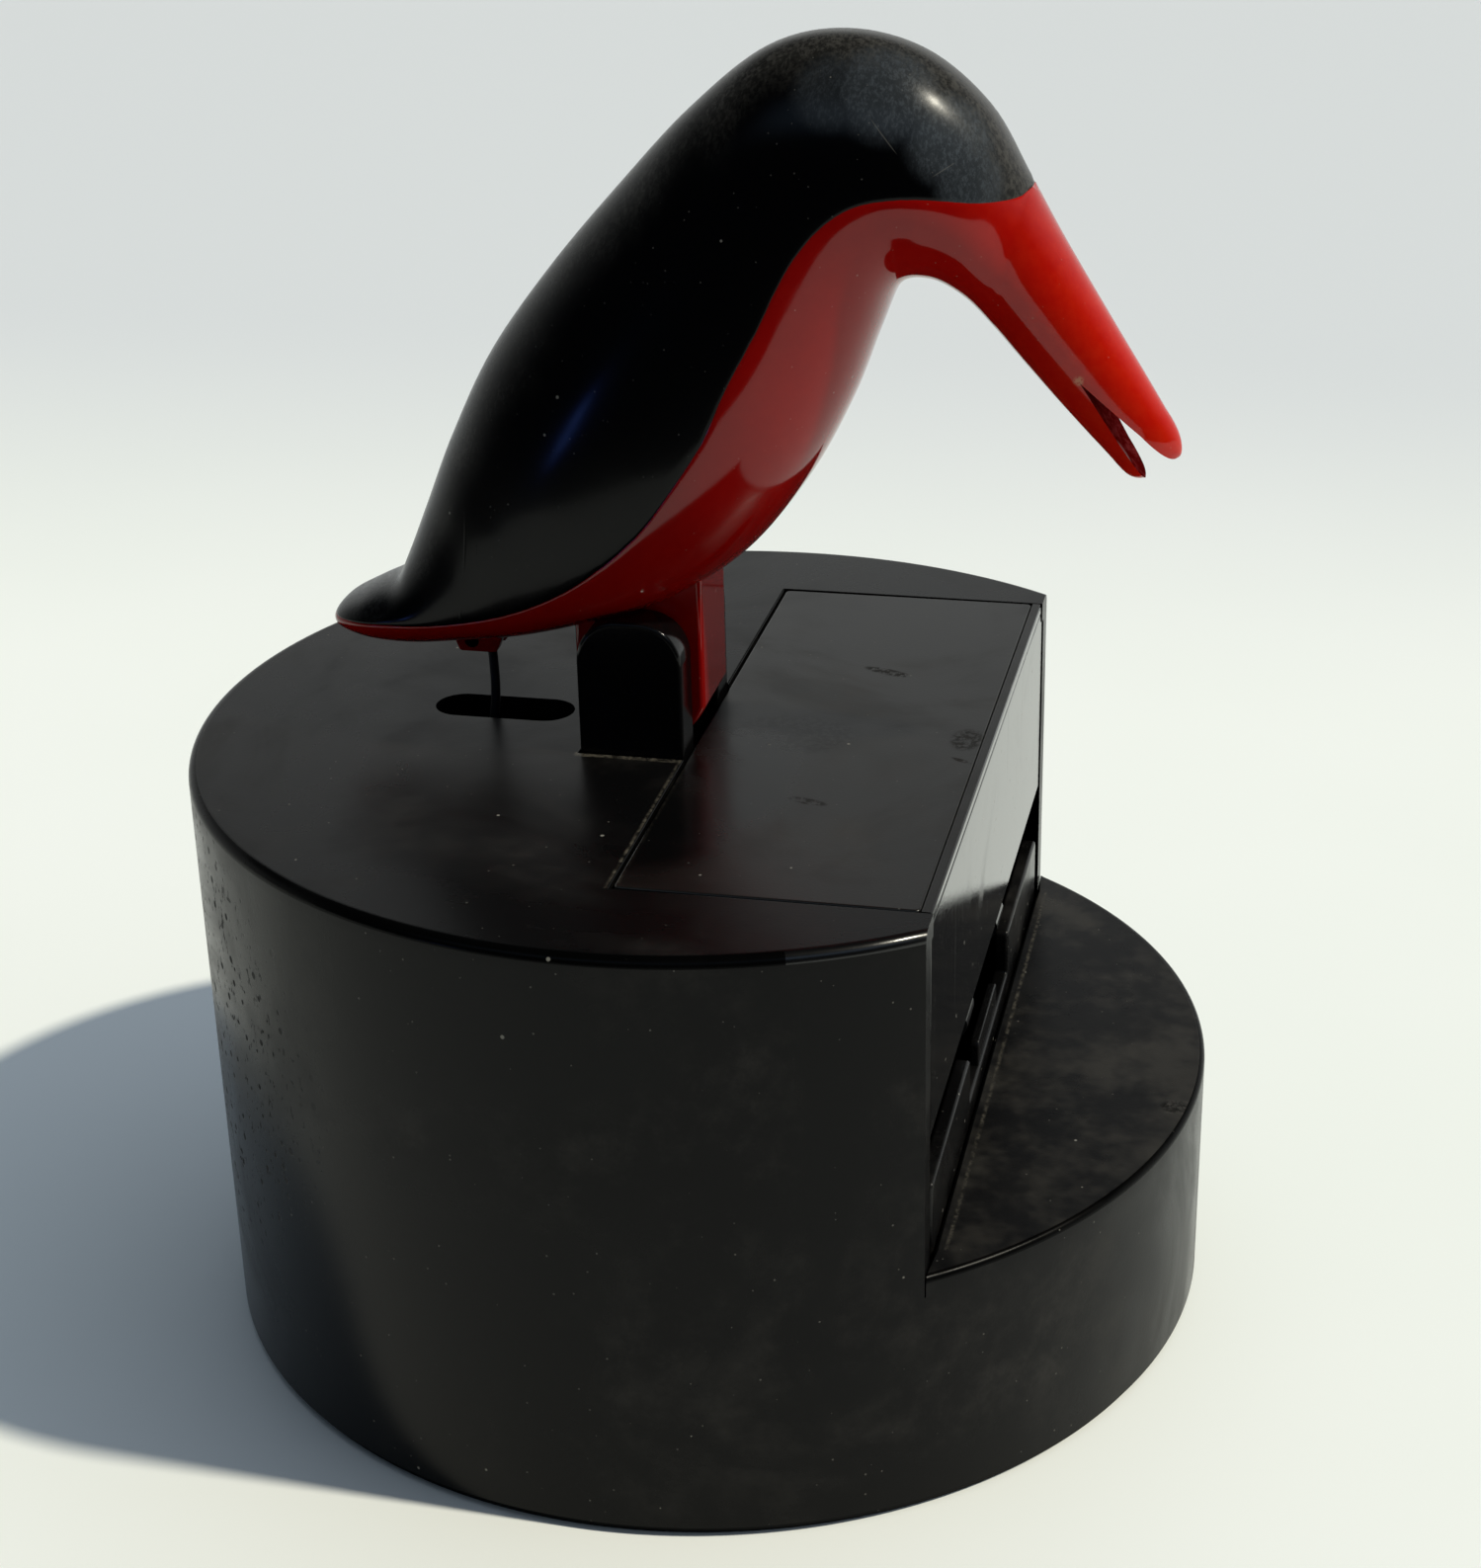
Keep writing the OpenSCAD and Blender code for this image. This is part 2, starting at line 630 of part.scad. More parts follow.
function heading(i) =
    unit(wire_line[min(i + 1, len(wire_line) - 1)] - wire_line[max(i - 1, 0)]);
// A ring of the wire: across the plane of the hook, then across the bend
function wire_ring(i) =
    let (t = heading(i), flat = i < len(wire_plane),
        u = flat ? cross([0, 1, 0], t) : [-1, 0, 0],
        v = flat ? [0, 1, 0] : cross(t, u))
    [for (k = [0:9]) wire_line[i] + wire_r * (u * cos(36 * k) - v * sin(36 * k))];
module link_wire() {
    color([0.3, 0.3, 0.31]) skin([for (i = [0:len(wire_line) - 1]) wire_ring(i)]);
}

module link_pin() {
    color([0.5, 0.5, 0.52]) rod(hook_x, hook_z, link_pin_r, -2.2, 2.2);
}

// One tube along the coil, with a short straight end up and down
coil_steps = 10;
coil_n = spring_turns * coil_steps;
function coil_point(i) =
    let (a = 360 * i / coil_steps, z = spring_foot + (spring_top - spring_foot) * i / coil_n)
    [spring_x + spring_r * cos(a), spring_r * sin(a), z];
function coil_ring(i) =
    let (p = coil_point(i), a = 360 * i / coil_steps, out = [cos(a), sin(a), 0])
    [for (k = [0:5]) p + spring_wire * (out * cos(60 * k) + [0, 0, 1] * sin(60 * k))];
module return_spring() {
    color([0.65, 0.65, 0.66]) skin([for (i = [0:coil_n]) coil_ring(i)]);
}

module spring_post() {
    color([0.6, 0.6, 0.62]) {
        translate([spring_x, 0, foot_h]) cylinder(h = spring_foot - foot_h - 1.2, r = 1.6);
        translate([spring_x, 0, foot_h]) cylinder(h = spring_foot - foot_h - 0.2, r = 1);
    }
}

// ---- the bird --------------------------------------------------------
module ear2d() {
    x1 = ear_front;
    translate([ear_back, web_z]) square([x1 - ear_back, ear_top - ear_r - web_z]);
    translate([ear_back + ear_r, web_z]) square([x1 - ear_back - 2 * ear_r, ear_top - web_z]);
    for (x = [ear_back + ear_r, x1 - ear_r]) translate([x, ear_top - ear_r]) circle(ear_r);
}

module pivot_bracket() {
    color([0.05, 0.05, 0.055]) difference() {
        union() {
            both() slice(ear_in, ear_out) ear2d();
            box(ear_back, ear_front, -ear_out, ear_out, web_z - 2, web_z);
            both() box(ear_back, ear_front, ear_out - eps, flange_y, plate_low - 2, plate_low);
            both() box(ear_back, ear_front, ear_out - 1, ear_out, web_z - 2, plate_low);
        }
        rod(pivot_x, pivot_z, pivot_r, -big, big);
        pivot_places() cylinder(h = top_z, r = stake_r + screw_gap);
    }
}

module pivot_screws() {
    color([0.55, 0.55, 0.56]) pivot_places() screw(plate_low - 2 - head_h, top_z - 1);
}

module pivot_pin() {
    color([0.1, 0.1, 0.11]) rod(pivot_x, pivot_z, pivot_r, -ear_out + 0.2, ear_out - 0.2);
}

module bird_back() {
    color([0.04, 0.04, 0.045]) intersection() {
        bird_body();
        above_seam();
    }
}

module bird_belly() {
    color([0.75, 0.06, 0.03]) difference() {
        union() {
            difference() {
                bird_body();
                above_seam();
            }
            // the leg, round about the pivot at its foot
            slab(leg_half) intersection() {
                union() {
                    translate([pivot_x, pivot_z]) circle(leg_r);
                    translate([pivot_x - leg_r, pivot_z]) square([leg_r + leg_front, 9.5]);
                }
                translate([pivot_x - 20, pivot_z - 20]) square([20 + leg_front, 40]);
            }
            // the boss under the tail that holds the cross pin
            slab(2.2) polygon([
                [hook_x - 2.4, hook_z + 1.6], [hook_x - 1.2, hook_z - 1.1],
                [hook_x + 2.3, hook_z - 1.1], [hook_x + 3.6, hook_z + 1.6]]);
        }
        mouth();
        // room for the ears as the bird bows
        both() rod(pivot_x, pivot_z, ear_reach + loose_gap, leg_half, ear_out + 1);
        rod(pivot_x, pivot_z, pivot_r + run_gap, -big, big);
        rod(hook_x, hook_z, link_pin_r, -2.2, 2.2);
        // room for the wire's hook, and for the wire as the tail rises
        slab(wire_r + 0.3) translate([hook_x - hook_r - 1.2, hook_z - 4])
            square([2 * hook_r + 4, 4 + hook_r + wire_r + 0.3]);
    }
}

drum_shell();
bottom_cover();
cover_screws();
front_panel();
pick_sill();
sill_screws();
hopper();
hopper_screws();
fill_lid();
feed_tray();
crank_bracket();
crank_screws();
crank_axle();
feed_crank();
drive_pin();
link_wire();
link_pin();
return_spring();
spring_post();
pivot_bracket();
pivot_screws();
pivot_pin();
bird_back();
bird_belly();
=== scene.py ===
"""Toothpick dispenser: a stepped black drum with a bird that bows for a pick.

Lengths are millimetres, apart from the add-on's settings and what a comment
calls metres. X is the way the bird faces, Z is up, and the origin is the
centre of the drum's foot.
"""

import math

import bmesh
import bpy
import numpy as np
from mathutils import Matrix, Vector
from mathutils.geometry import tessellate_polygon


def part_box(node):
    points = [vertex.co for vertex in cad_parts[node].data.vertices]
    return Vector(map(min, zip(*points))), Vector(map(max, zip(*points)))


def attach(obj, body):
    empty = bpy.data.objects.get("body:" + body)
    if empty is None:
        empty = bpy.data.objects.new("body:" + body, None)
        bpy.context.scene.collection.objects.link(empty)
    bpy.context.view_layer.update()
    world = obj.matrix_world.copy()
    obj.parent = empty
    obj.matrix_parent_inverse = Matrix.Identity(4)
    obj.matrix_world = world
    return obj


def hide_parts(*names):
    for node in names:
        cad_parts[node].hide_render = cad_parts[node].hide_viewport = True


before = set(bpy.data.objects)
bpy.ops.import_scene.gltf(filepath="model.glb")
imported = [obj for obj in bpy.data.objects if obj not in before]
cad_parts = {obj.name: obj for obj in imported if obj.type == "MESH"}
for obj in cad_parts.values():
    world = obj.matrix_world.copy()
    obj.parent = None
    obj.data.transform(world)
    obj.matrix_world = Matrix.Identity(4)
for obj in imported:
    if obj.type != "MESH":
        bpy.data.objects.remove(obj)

bl_info = {
    "name": "Toothpick dispenser",
    "version": (1, 0, 0),
    "blender": (4, 5, 0),
    "location": "3D View > Sidebar > Dispenser",
    "description": "Builds a bird toothpick dispenser around its packed frame",
    "category": "Add Mesh",
}

MM = 0.001


def node_box(node):
    """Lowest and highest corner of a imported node, in millimetres."""
    low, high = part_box(node)
    return np.array(low) / MM, np.array(high) / MM


# ---- sizes ----

DRUM_LOW, DRUM_HIGH = node_box("drum_shell")
LID_LOW, LID_HIGH = node_box("fill_lid")
PANEL_LOW, PANEL_HIGH = node_box("front_panel")
SILL_HIGH = node_box("pick_sill")[1]
FOOT_HIGH = node_box("bottom_cover")[1]
EARS_LOW, EARS_HIGH = node_box("pivot_bracket")

# How far the plates of one piece reach into each other
OVERLAP = 0.01

# Drum: its flat cut, the deck in front of it, and the rolls of the two rims
DRUM_R = DRUM_HIGH[0]
TOP_Z = DRUM_HIGH[2]
FOOT_Z = DRUM_LOW[2]
CUT_X = 27.2
CUT_HALF = math.sqrt(DRUM_R ** 2 - CUT_X ** 2)
CUT_TURN = math.degrees(math.acos(CUT_X / DRUM_R))
DECK_Z = 23.8
WALL = 2.0
TOP_RIM = 0.9
DECK_RIM = 0.6
RIM_STEPS = 8
BACK_STEPS, FRONT_STEPS = 251, 121
# The deck's edge along the cut: its gap, its roll, and where it turns
DECK_GAP, DECK_BACK_ROLL, DECK_FLANK = 0.12, 0.38, 34.4
# Gaps round the lid and the ears, and the wire's slot
LID_GAP, EAR_GAP = 0.3, 0.1
SLOT_BACK, SLOT_FRONT, SLOT_R = -23.45, -15.25, 2.65
# The plug of the foot inside the drum's wall
PLUG_GAP = 0.2

# Ears: inner and outer face, top, and their bracket's plates
EAR_IN, EAR_OUT, EAR_TOP, EAR_CORNER = 4.9, 9.0, 69.0, 3.9
YOKE_T, YOKE_Z = 2.0, 52.2

# Front panel: its face, the bar above it, and how thick each is
PANEL_INSET = 0.1
PANEL_FACE_T, PANEL_T = 0.7, 1.5
BACKING_TOP = 54.0
BAR_Z, BAR_HALF, BAR_GAP = 55.2, 35.2, 0.1

# Sill: its plank with the beak's notch, the tongue in it, and the flange
SILL_INSET, SILL_T, SILL_LOW_Z = 0.05, 1.4, 15.0
NOTCH_HALF, NOTCH_Z = 12.7, 25.4
TONGUE_HALF, TONGUE_LOW, TONGUE_TOP = 6.0, 24.4, 28.0
FLANGE_HALF, FLANGE_L, FLANGE_LOW, FLANGE_TOP = 29.9, 7.0, 19.8, 21.8

# Motion: the bird's pivot, the cross pin under its tail, and the crank's eye,
# as [x, z]
PIVOT = np.array([-4.6, 61.7])
HOOK = np.array([-21.5, 63.7])
CRANK_EYE = np.array([-24.5, 19.6])
LEG_BACK, LEG_FRONT, LEG_HALF, LEG_UP, BORE_R = 6.2, 5.8, 4.6, 13.0, 1.68
WIRE_R, HOOK_R, EYE_R, EYE_END = 0.45, 1.2, 0.9, 4.4

# Ribs of the bird from tail to beak: back [x, z], belly [x, z], half width,
# and how far down the rib its widest place lies
RIBS = np.array([
    [-35, 65.6, -34.9, 64.9, 1.6, 0.5], [-34, 66.8, -33.2, 64.2, 4.4, 0.42],
    [-31.4, 68.2, -30.2, 63.6, 6.2, 0.45], [-28.3, 69.9, -26.2, 63.5, 7, 0.52],
    [-27.1, 72.2, -21.5, 64.1, 7.6, 0.63], [-25.1, 77, -15.4, 65.1, 8.6, 0.73],
    [-22.3, 83.6, -9, 66.8, 9.7, 0.76], [-18.2, 91.4, -2, 69.2, 10.6, 0.74],
    [-12.4, 99.1, 5, 74, 11, 0.7], [-6, 106.3, 10.6, 81, 10.7, 0.65],
    [0.5, 113, 14.4, 88.1, 10, 0.6], [7.2, 118.1, 16.8, 94.3, 9.5, 0.58],
    [13.8, 119.5, 18.7, 98.5, 9.1, 0.6], [20.4, 117.9, 21.4, 99.1, 8.4, 0.57],
    [25.9, 113.5, 24.2, 97.6, 6.9, 0.52], [29.4, 107.8, 26.6, 95.1, 5.1, 0.5],
    [32.4, 102.6, 29.3, 92, 4.2, 0.5], [36.6, 95.8, 32.7, 88.2, 3.4, 0.5],
    [40.5, 89.6, 36, 84.7, 2.7, 0.5], [42.5, 86.2, 38.4, 82.3, 2, 0.5],
    [43.1, 84.2, 39.9, 81.9, 1.3, 0.5],
])
# Where the black back meets the red belly, seen from the side
SEAM = np.array([
    [31.4, 108.6], [29.8, 107.1], [28.6, 106.7], [25.7, 106.8], [22, 107.3],
    [18.8, 107.3], [15.7, 106.6], [12.7, 104.4], [10.2, 100.9], [7.9, 96.2],
    [5.2, 91.1], [3.1, 86.5], [0.5, 82.5], [-2.3, 78.6], [-5.4, 75.5],
    [-9.2, 72.5], [-13, 70.3], [-17.5, 68.5], [-23.6, 67], [-30, 66.4], [-37, 66],
])
MOUTH_ROOT = np.array([34.4, 91.0])
MOUTH_HIGH = np.array([43.9, 82.4])
MOUTH_LOW = np.array([41.0, 80.25])
# Columns of points on a moulding, and on half of the beak
SKIN_COLUMNS, JAW_COLUMNS = 97, 49
JAW_CREST = JAW_COLUMNS // 2
# Shares of the rolled edge beside the seam, and how wide that edge is
SEAM_ROLL = np.array([0.0, 0.15, 0.4])
SEAM_WIDTH = 0.35

# ---- colours and marks ----

SATIN_BLACK = (0.0022, 0.0021, 0.0022)
LID_BLACK = (0.0045, 0.0042, 0.0038)
# Black of wiped marks and pits; on the lid it also darkens a patch of painted shade
WIPED_AND_SHADE_BLACK = (0.0008, 0.0008, 0.0008)
DUST_FILM = (0.050, 0.046, 0.041)
DUST_SPECK = (0.24, 0.23, 0.20)
JOINT_DUST = (0.10, 0.09, 0.07)
LINT, CLOUDS = 1100, 75

# Lint and dust: low and high corner of its box (None is open), share, colour,
# fineness
TOP_DUST = (
    ((-9.9, -9.9, None), (0.4, -9.0, None), 0.8, JOINT_DUST, LINT),
    ((-0.15, -35.5, 55.0), (0.3, -9.0, None), 0.8, JOINT_DUST, LINT),
    ((28.2, -34.5, DECK_Z - 0.5), (28.5, 34.5, DECK_Z + 0.5), 0.6, JOINT_DUST, LINT),
    ((44.6, -8.6, None), (47.2, -6.2, DECK_Z + 1), 0.9, (0.06, 0.055, 0.05), LINT),
    ((None, None, None), (None, None, DECK_Z + 1), 0.62, (0.034, 0.031, 0.026), CLOUDS),
)
LID_DUST = (((0.5, -35.2, None), (0.9, -9.0, None), 0.7, (0.08, 0.07, 0.055), LINT),)
# Rub marks, and on the lid one patch of painted shade: centre, half lengths, turn in degrees,
# added roughness
DECK_MARKS = (((45.6, -7.4, 23.8), (1.8, 1.3, 1.0), 0, 0.5),)
LID_MARKS = (
    ((14.8, 14.6, LID_HIGH[2]), (2.9, 0.8, 0.6), -20, 0.5),
    ((24.7, -0.4, LID_HIGH[2]), (1.7, 2.8, 0.6), 0, 0.35),
    ((24.9, -5.1, LID_HIGH[2]), (1.3, 0.35, 0.6), -27, 0.5),
    ((8.5, -1.7, LID_HIGH[2]), (7.5, 5.0, 0.6), 0, 0.06),
    ((13.0, -16.0, LID_HIGH[2]), (2.2, 0.7, 0.6), -15, 0.35),
    # A darker, glossier patch at the lid's near back part: painted shade where the bird's dark
    # reflection lies
    ((2.5, -17.0, LID_HIGH[2]), (10.0, 19.0, 0.6), -12, -0.13),
)
EAR_MARKS = (((-4.4, -9.0, 62.4), (1.1, 0.5, 0.3), 0, 0.3),)
# The pitted patch of the drum's wall: centre and radius
WALL_PITS = ((-41.0, -24.0, 35.0), 26.0)
# The top rim is worn near the cut: from where, above what height, and from
# where and over what length it sags
WORN_FROM, WORN_ABOVE, SAG_FROM, SAG_LENGTH = 17.0, 40.0, 22.8, 4.4
# Crown: scuffs under a painted bluish sheen (centre, radius, share), scratches (centre, half
# lengths, tilt)
CROWN_SCUFFS_AND_SHEEN = (((18.5, -6.1, 115.9), 6.8, 0.9), ((14.0, -6.8, 115.9), 5.2, 0.5),
                ((23.8, -6.0, 112.0), 6.2, 1.0), ((25.5, -6.3, 108.5), 4.9, 0.9))
CROWN_SCRATCHES = (((18.4, -7.9, 112.4), (0.06, 2.0, 2.0), -40.0),
                   ((23.2, -6.8, 109.6), (0.06, 2.0, 1.2), 60.0))
# The brushed marks of the crown lean with it, by radians
CROWN_LEAN = (0.0, 0.65, 0.0)
BEAK_CHIP = ((34.3, -2.7, 91.3), 0.85)
# Painted highlight on the mouth's inner face: centre and half lengths
MOUTH_PAINTED_HIGHLIGHT = ((38.2, -0.8, 84.6), (1.0, 0.7, 1.7))

# Camera: place in millimetres, then azimuth, elevation and roll in degrees
CAMERA_AT = (58.645, -236.221, 159.831)
CAMERA_TURN = (13.185, 24.364, -1.423)
# Sun: direction in plan, elevation and width in degrees
SUN_WAY, SUN_RISE, SUN_WIDTH = (0.999, -0.036), 53, 2.4
# In metres: where the sun aims, and where the front part of the floor ends
SUN_AIM = Vector((0, 0, 0.06))
FLOOR_FRONT = -0.30


# ---- curves and meshes ----

def through(knots, steps):
    """Catmull-Rom curve through knots: with a, b, c, d round a stretch, half of
    2b + (c - a)t + (2a - 5b + 4c - d)t^2 + (3b - a - 3c + d)t^3."""
    k = np.asarray(knots, float)
    i = np.repeat(np.arange(len(k) - 1), steps)
    t = np.tile(np.arange(steps) / steps, len(k) - 1)[:, None]
    a, b, c, d = (k[np.clip(i + o, 0, len(k) - 1)] for o in (-1, 0, 1, 2))
    p = 0.5 * (2 * b + (c - a) * t + (2 * a - 5 * b + 4 * c - d) * t ** 2
               + (3 * b - a - 3 * c + d) * t ** 3)
    return np.vstack([p, k[-1:]])


def grid(rows, cols):
    """Quads of a grid of points stored row by row, each row closed."""
    r, c = np.meshgrid(np.arange(rows - 1), np.arange(cols), indexing="ij")
    a, b = r * cols + c, r * cols + (c + 1) % cols
    return np.stack([a, b, b + cols, a + cols], -1).reshape(-1, 4)


def tube_of(rings):
    """Closed skin over an array of rings (rows, points, 3), with fans at its
    two ends."""
    n, m = rings.shape[:2]
    points = np.vstack([rings.reshape(-1, 3), rings[0].mean(0), rings[-1].mean(0)])
    k = np.arange(m)
    far = (n - 1) * m
    first = np.stack([np.full(m, n * m), (k + 1) % m, k], 1)
    last = np.stack([np.full(m, n * m + 1), far + k, far + (k + 1) % m], 1)
    return points, [grid(n, m), first, last]


def cleaned(points, groups, numbers=None):
    """A mesh of one closed skin (points in mm, list of face arrays), with its
    doubles merged, thin faces dropped and faces turned outwards. numbers
    gives each face array its material."""
    skin = bpy.data.meshes.new("skin")
    faces = [face for group in groups for face in np.asarray(group).tolist()]
    skin.from_pydata((np.asarray(points, float) * MM).tolist(), [], faces)
    if numbers is not None:
        ids = [np.broadcast_to(k, len(group)) for k, group in zip(numbers, groups)]
        skin.polygons.foreach_set("material_index", np.concatenate(ids).astype(np.int32))
    bm = bmesh.new()
    bm.from_mesh(skin)
    bmesh.ops.remove_doubles(bm, verts=bm.verts, dist=2e-6)
    bmesh.ops.dissolve_degenerate(bm, edges=bm.edges, dist=1e-6)
    bmesh.ops.recalc_face_normals(bm, faces=bm.faces)
    bm.to_mesh(skin)
    bm.free()
    return skin


def placed(name, data):
    """A new object in the scene."""
    obj = bpy.data.objects.new(name, data)
    bpy.context.scene.collection.objects.link(obj)
    return obj


def piece(name, parts, *materials, pick=None):
    """One object from several closed skins. pick gives each face its material
    from the faces' centres in mm and their normals. Edges over 38 degrees
    are sharp, and faces over 1 mm2 that lie square to an axis are flat."""
    joined = bmesh.new()
    for part in parts:
        skin = cleaned(*part)
        joined.from_mesh(skin)
        bpy.data.meshes.remove(skin)
    mesh = bpy.data.meshes.new(name)
    joined.to_mesh(mesh)
    joined.free()
    area = np.empty(len(mesh.polygons), np.float32)
    where = np.empty((2, len(mesh.polygons) * 3), np.float32)
    mesh.polygons.foreach_get("area", area)
    mesh.polygons.foreach_get("center", where[0])
    mesh.polygons.foreach_get("normal", where[1])
    centre, normal = where.reshape(2, -1, 3)
    if pick is not None:
        ids = pick(centre / MM, normal)
        mesh.polygons.foreach_set("material_index", ids.astype(np.int32))
    flat = (np.abs(normal).max(1) > 0.99999) & (area > 1e-6)
    mesh.set_sharp_from_angle(angle=math.radians(38))
    mesh.polygons.foreach_set("use_smooth", ~flat)
    for material in materials:
        mesh.materials.append(material)
    return placed(name, mesh)


def arc(cx, cy, r, a0, a1, n):
    """n points on a circle from angle a0 to a1, in degrees."""
    a = np.radians(np.linspace(a0, a1, n))
    return np.stack([cx + r * np.cos(a), cy + r * np.sin(a)], 1)


def box_outline(x0, x1, y0, y1):
    """Four corners of a rectangle."""
    return [[x0, y0], [x1, y0], [x1, y1], [x0, y1]]


def rounded(corners, radius, n=6):
    """A polygon with each corner cut by an arc of n points. The arc starts and
    ends at radius / tan(half the corner's angle) from the corner."""
    c = np.asarray(corners, float)
    r = np.broadcast_to(np.asarray(radius, float), (len(c),))
    out = []
    for i, p in enumerate(c):
        u, v = c[i - 1] - p, c[(i + 1) % len(c)] - p
        u, v = u / np.linalg.norm(u), v / np.linalg.norm(v)
        if r[i] <= 0:
            out.append(p[None])
            continue
        half = math.acos(np.clip(u @ v, -1, 1)) / 2
        cut = r[i] / math.tan(half)
        mid = p + (u + v) / np.linalg.norm(u + v) * r[i] / math.sin(half)
        a, b = p + u * cut - mid, p + v * cut - mid
        sweep = math.pi - 2 * half
        t = np.linspace(0, 1, n)[:, None]
        bow = a * np.sin((1 - t) * sweep) + b * np.sin(t * sweep)
        out.append(mid + bow / math.sin(sweep))
    return np.vstack(out)


def turned(loop, keep_left=True):
    """The loop, run so that its inside is on the left, or on the right."""
    x, y = loop.T
    area = (x * np.roll(y, -1) - np.roll(x, -1) * y).sum()
    return loop if (area > 0) == keep_left else loop[::-1]


def left_of(loop):
    """At each corner, the vector that moves both its edges left by one."""
    d = np.roll(loop, -1, 0) - loop
    d /= np.maximum(np.linalg.norm(d, axis=1), 1e-9)[:, None]
    n = np.stack([-d[:, 1], d[:, 0]], 1)
    m = n + np.roll(n, 1, 0)
    return m / np.maximum((m * np.roll(n, 1, 0)).sum(1), 0.2)[:, None]


def plate(outline, low, high, roll=0.2, roll_low=None, holes=(), plane="xy",
          pull=None, steps=5):
    """A flat plate with rolled edges. Each loop carries a profile: a quarter
    circle of radius roll from the top face to the side, and another to the
    bottom face. Flat caps fill what the loops leave. pull replaces the inward
    direction at each point of the outline, and roll may be one value a point."""
    roll_low = roll if roll_low is None else roll_low
    loops = [turned(np.asarray(outline, float))]
    loops += [turned(np.asarray(hole, float), False) for hole in holes]
    cap_inset = 0.03
    a = np.linspace(0, math.pi / 2, steps + 1)
    points, faces, start, caps = [], [], 0, ([], [])
    for k, loop in enumerate(loops):
        inward = left_of(loop) if pull is None or k else np.asarray(pull, float)
        top, bot = (np.broadcast_to(np.asarray(np.max(roll_low) if k else r, float), (len(loop),))
                    for r in (roll, roll_low))
        rows = [(top + cap_inset, np.full(len(loop), high))]
        rows += [(top * (1 - math.sin(t)), high - top * (1 - math.cos(t))) for t in a]
        rows += [(bot * (1 - math.sin(t)), low + bot * (1 - math.cos(t))) for t in a[::-1]]
        rows += [(bot + cap_inset, np.full(len(loop), low))]
        ring = np.stack([np.column_stack([loop + inward * w[:, None], h]) for w, h in rows])
        points.append(ring.reshape(-1, 3))
        faces.append(grid(len(rows), len(loop)) + start)
        for cap, row in zip(caps, (0, len(rows) - 1)):
            cap.append((start + row * len(loop), ring[row]))
        start += len(rows) * len(loop)
    for cap in caps:
        index = np.concatenate([s + np.arange(len(r)) for s, r in cap])
        tris = tessellate_polygon([[Vector((p[0], p[1], 0)) for p in r] for _, r in cap])
        faces.append(index[np.array(tris)])
    order = {"xy": (0, 1, 2), "xz": (0, 2, 1), "yz": (2, 0, 1)}[plane]
    return np.vstack(points)[:, order], faces


def mirrored(part):
    """The same part on the other side of the XZ plane."""
    points, *rest = part
    return points * np.array([1, -1, 1]), *rest


def swept(line, r, sides=16):
    """A round bar along a line of points: rings square to the line, turned
    with it by the shortest turn."""
    line = np.asarray(line, float)
    tangent = np.gradient(line, axis=0)
    tangent /= np.linalg.norm(tangent, axis=1)[:, None]
    side = np.array([0.0, 1.0, 0.0])
    rings = []
    a = np.linspace(0, 2 * math.pi, sides, endpoint=False)[:, None]
    for p, t in zip(line, tangent):
        side = side - t * (side @ t)
        if np.linalg.norm(side) < 0.2:
            side = np.cross(t, [1.0, 0.0, 0.0])
        side /= np.linalg.norm(side)
        rings.append(p + r * (np.cos(a) * side + np.sin(a) * np.cross(t, side)))
    return tube_of(np.array(rings))


# ---- materials ----

class Net:
    """Short names for the shader nodes that the finishes and the room share."""

    def __init__(self, owner, place="Object"):
        owner.use_nodes = True
        self.owner, self.tree = owner, owner.node_tree
        self.place = self.node("TexCoord").outputs[place]

    def node(self, kind, inputs=(), **settings):
        n = self.tree.nodes.new("ShaderNode" + kind)
        for key, value in settings.items():
            setattr(n, key, value)
        for key, value in dict(inputs).items():
            self.put(n.inputs[key], value)
        return n

    def put(self, socket, value):
        if isinstance(value, bpy.types.NodeSocket):
            self.tree.links.new(value, socket)
        elif isinstance(value, tuple) and len(value) == 3 and socket.type == "RGBA":
            socket.default_value = (*value, 1.0)
        else:
            socket.default_value = value

    def axes(self):
        return self.node("SeparateXYZ", {"Vector": self.place}).outputs

    def stretch(self, scale, turn=(0, 0, 0)):
        inputs = {"Vector": self.place, "Scale": scale, "Rotation": turn}
        return self.node("Mapping", inputs).outputs["Vector"]

    def noise(self, scale, detail=4.0, rough=0.55, place=None, warp=0.0):
        inputs = {"Vector": place or self.place, "Scale": scale, "Detail": detail,
                  "Roughness": rough, "Distortion": warp}
        return self.node("TexNoise", inputs).outputs["Fac"]

    def ramp(self, value, low, high, to_low=0.0, to_high=1.0):
        inputs = {"Value": value, "From Min": low, "From Max": high,
                  "To Min": to_low, "To Max": to_high}
        return self.node("MapRange", inputs, interpolation_type="SMOOTHSTEP").outputs["Result"]

    def math(self, kind, *values):
        """All values joined from left to right by one kind of sum."""
        out = values[0]
        for value in values[1:]:
            out = self.node("Math", {0: out, 1: value}, operation=kind).outputs[0]
        return out

    def times(self, *values):
        return self.math("MULTIPLY", *values)

    def plus(self, *values):
        return self.math("ADD", *values)

    def most(self, *values):
        return self.math("MAXIMUM", *values)

    def mix(self, share, a, b):
        inputs = {"Factor": share, "A": a, "B": b}
        return self.node("Mix", inputs, data_type="RGBA").outputs["Result"]

    def bump(self, height, strength, depth, under=None):
        inputs = {"Height": height, "Strength": strength, "Distance": depth}
        if under is not None:
            inputs["Normal"] = under
        return self.node("Bump", inputs).outputs["Normal"]

    def finish(self, **sockets):
        shader = self.tree.nodes["Principled BSDF"]
        for key, value in sockets.items():
            self.put(shader.inputs[key.replace("_", " ")], value)
        return self.owner


def finish_net(name):
    return Net(bpy.data.materials.new(name))


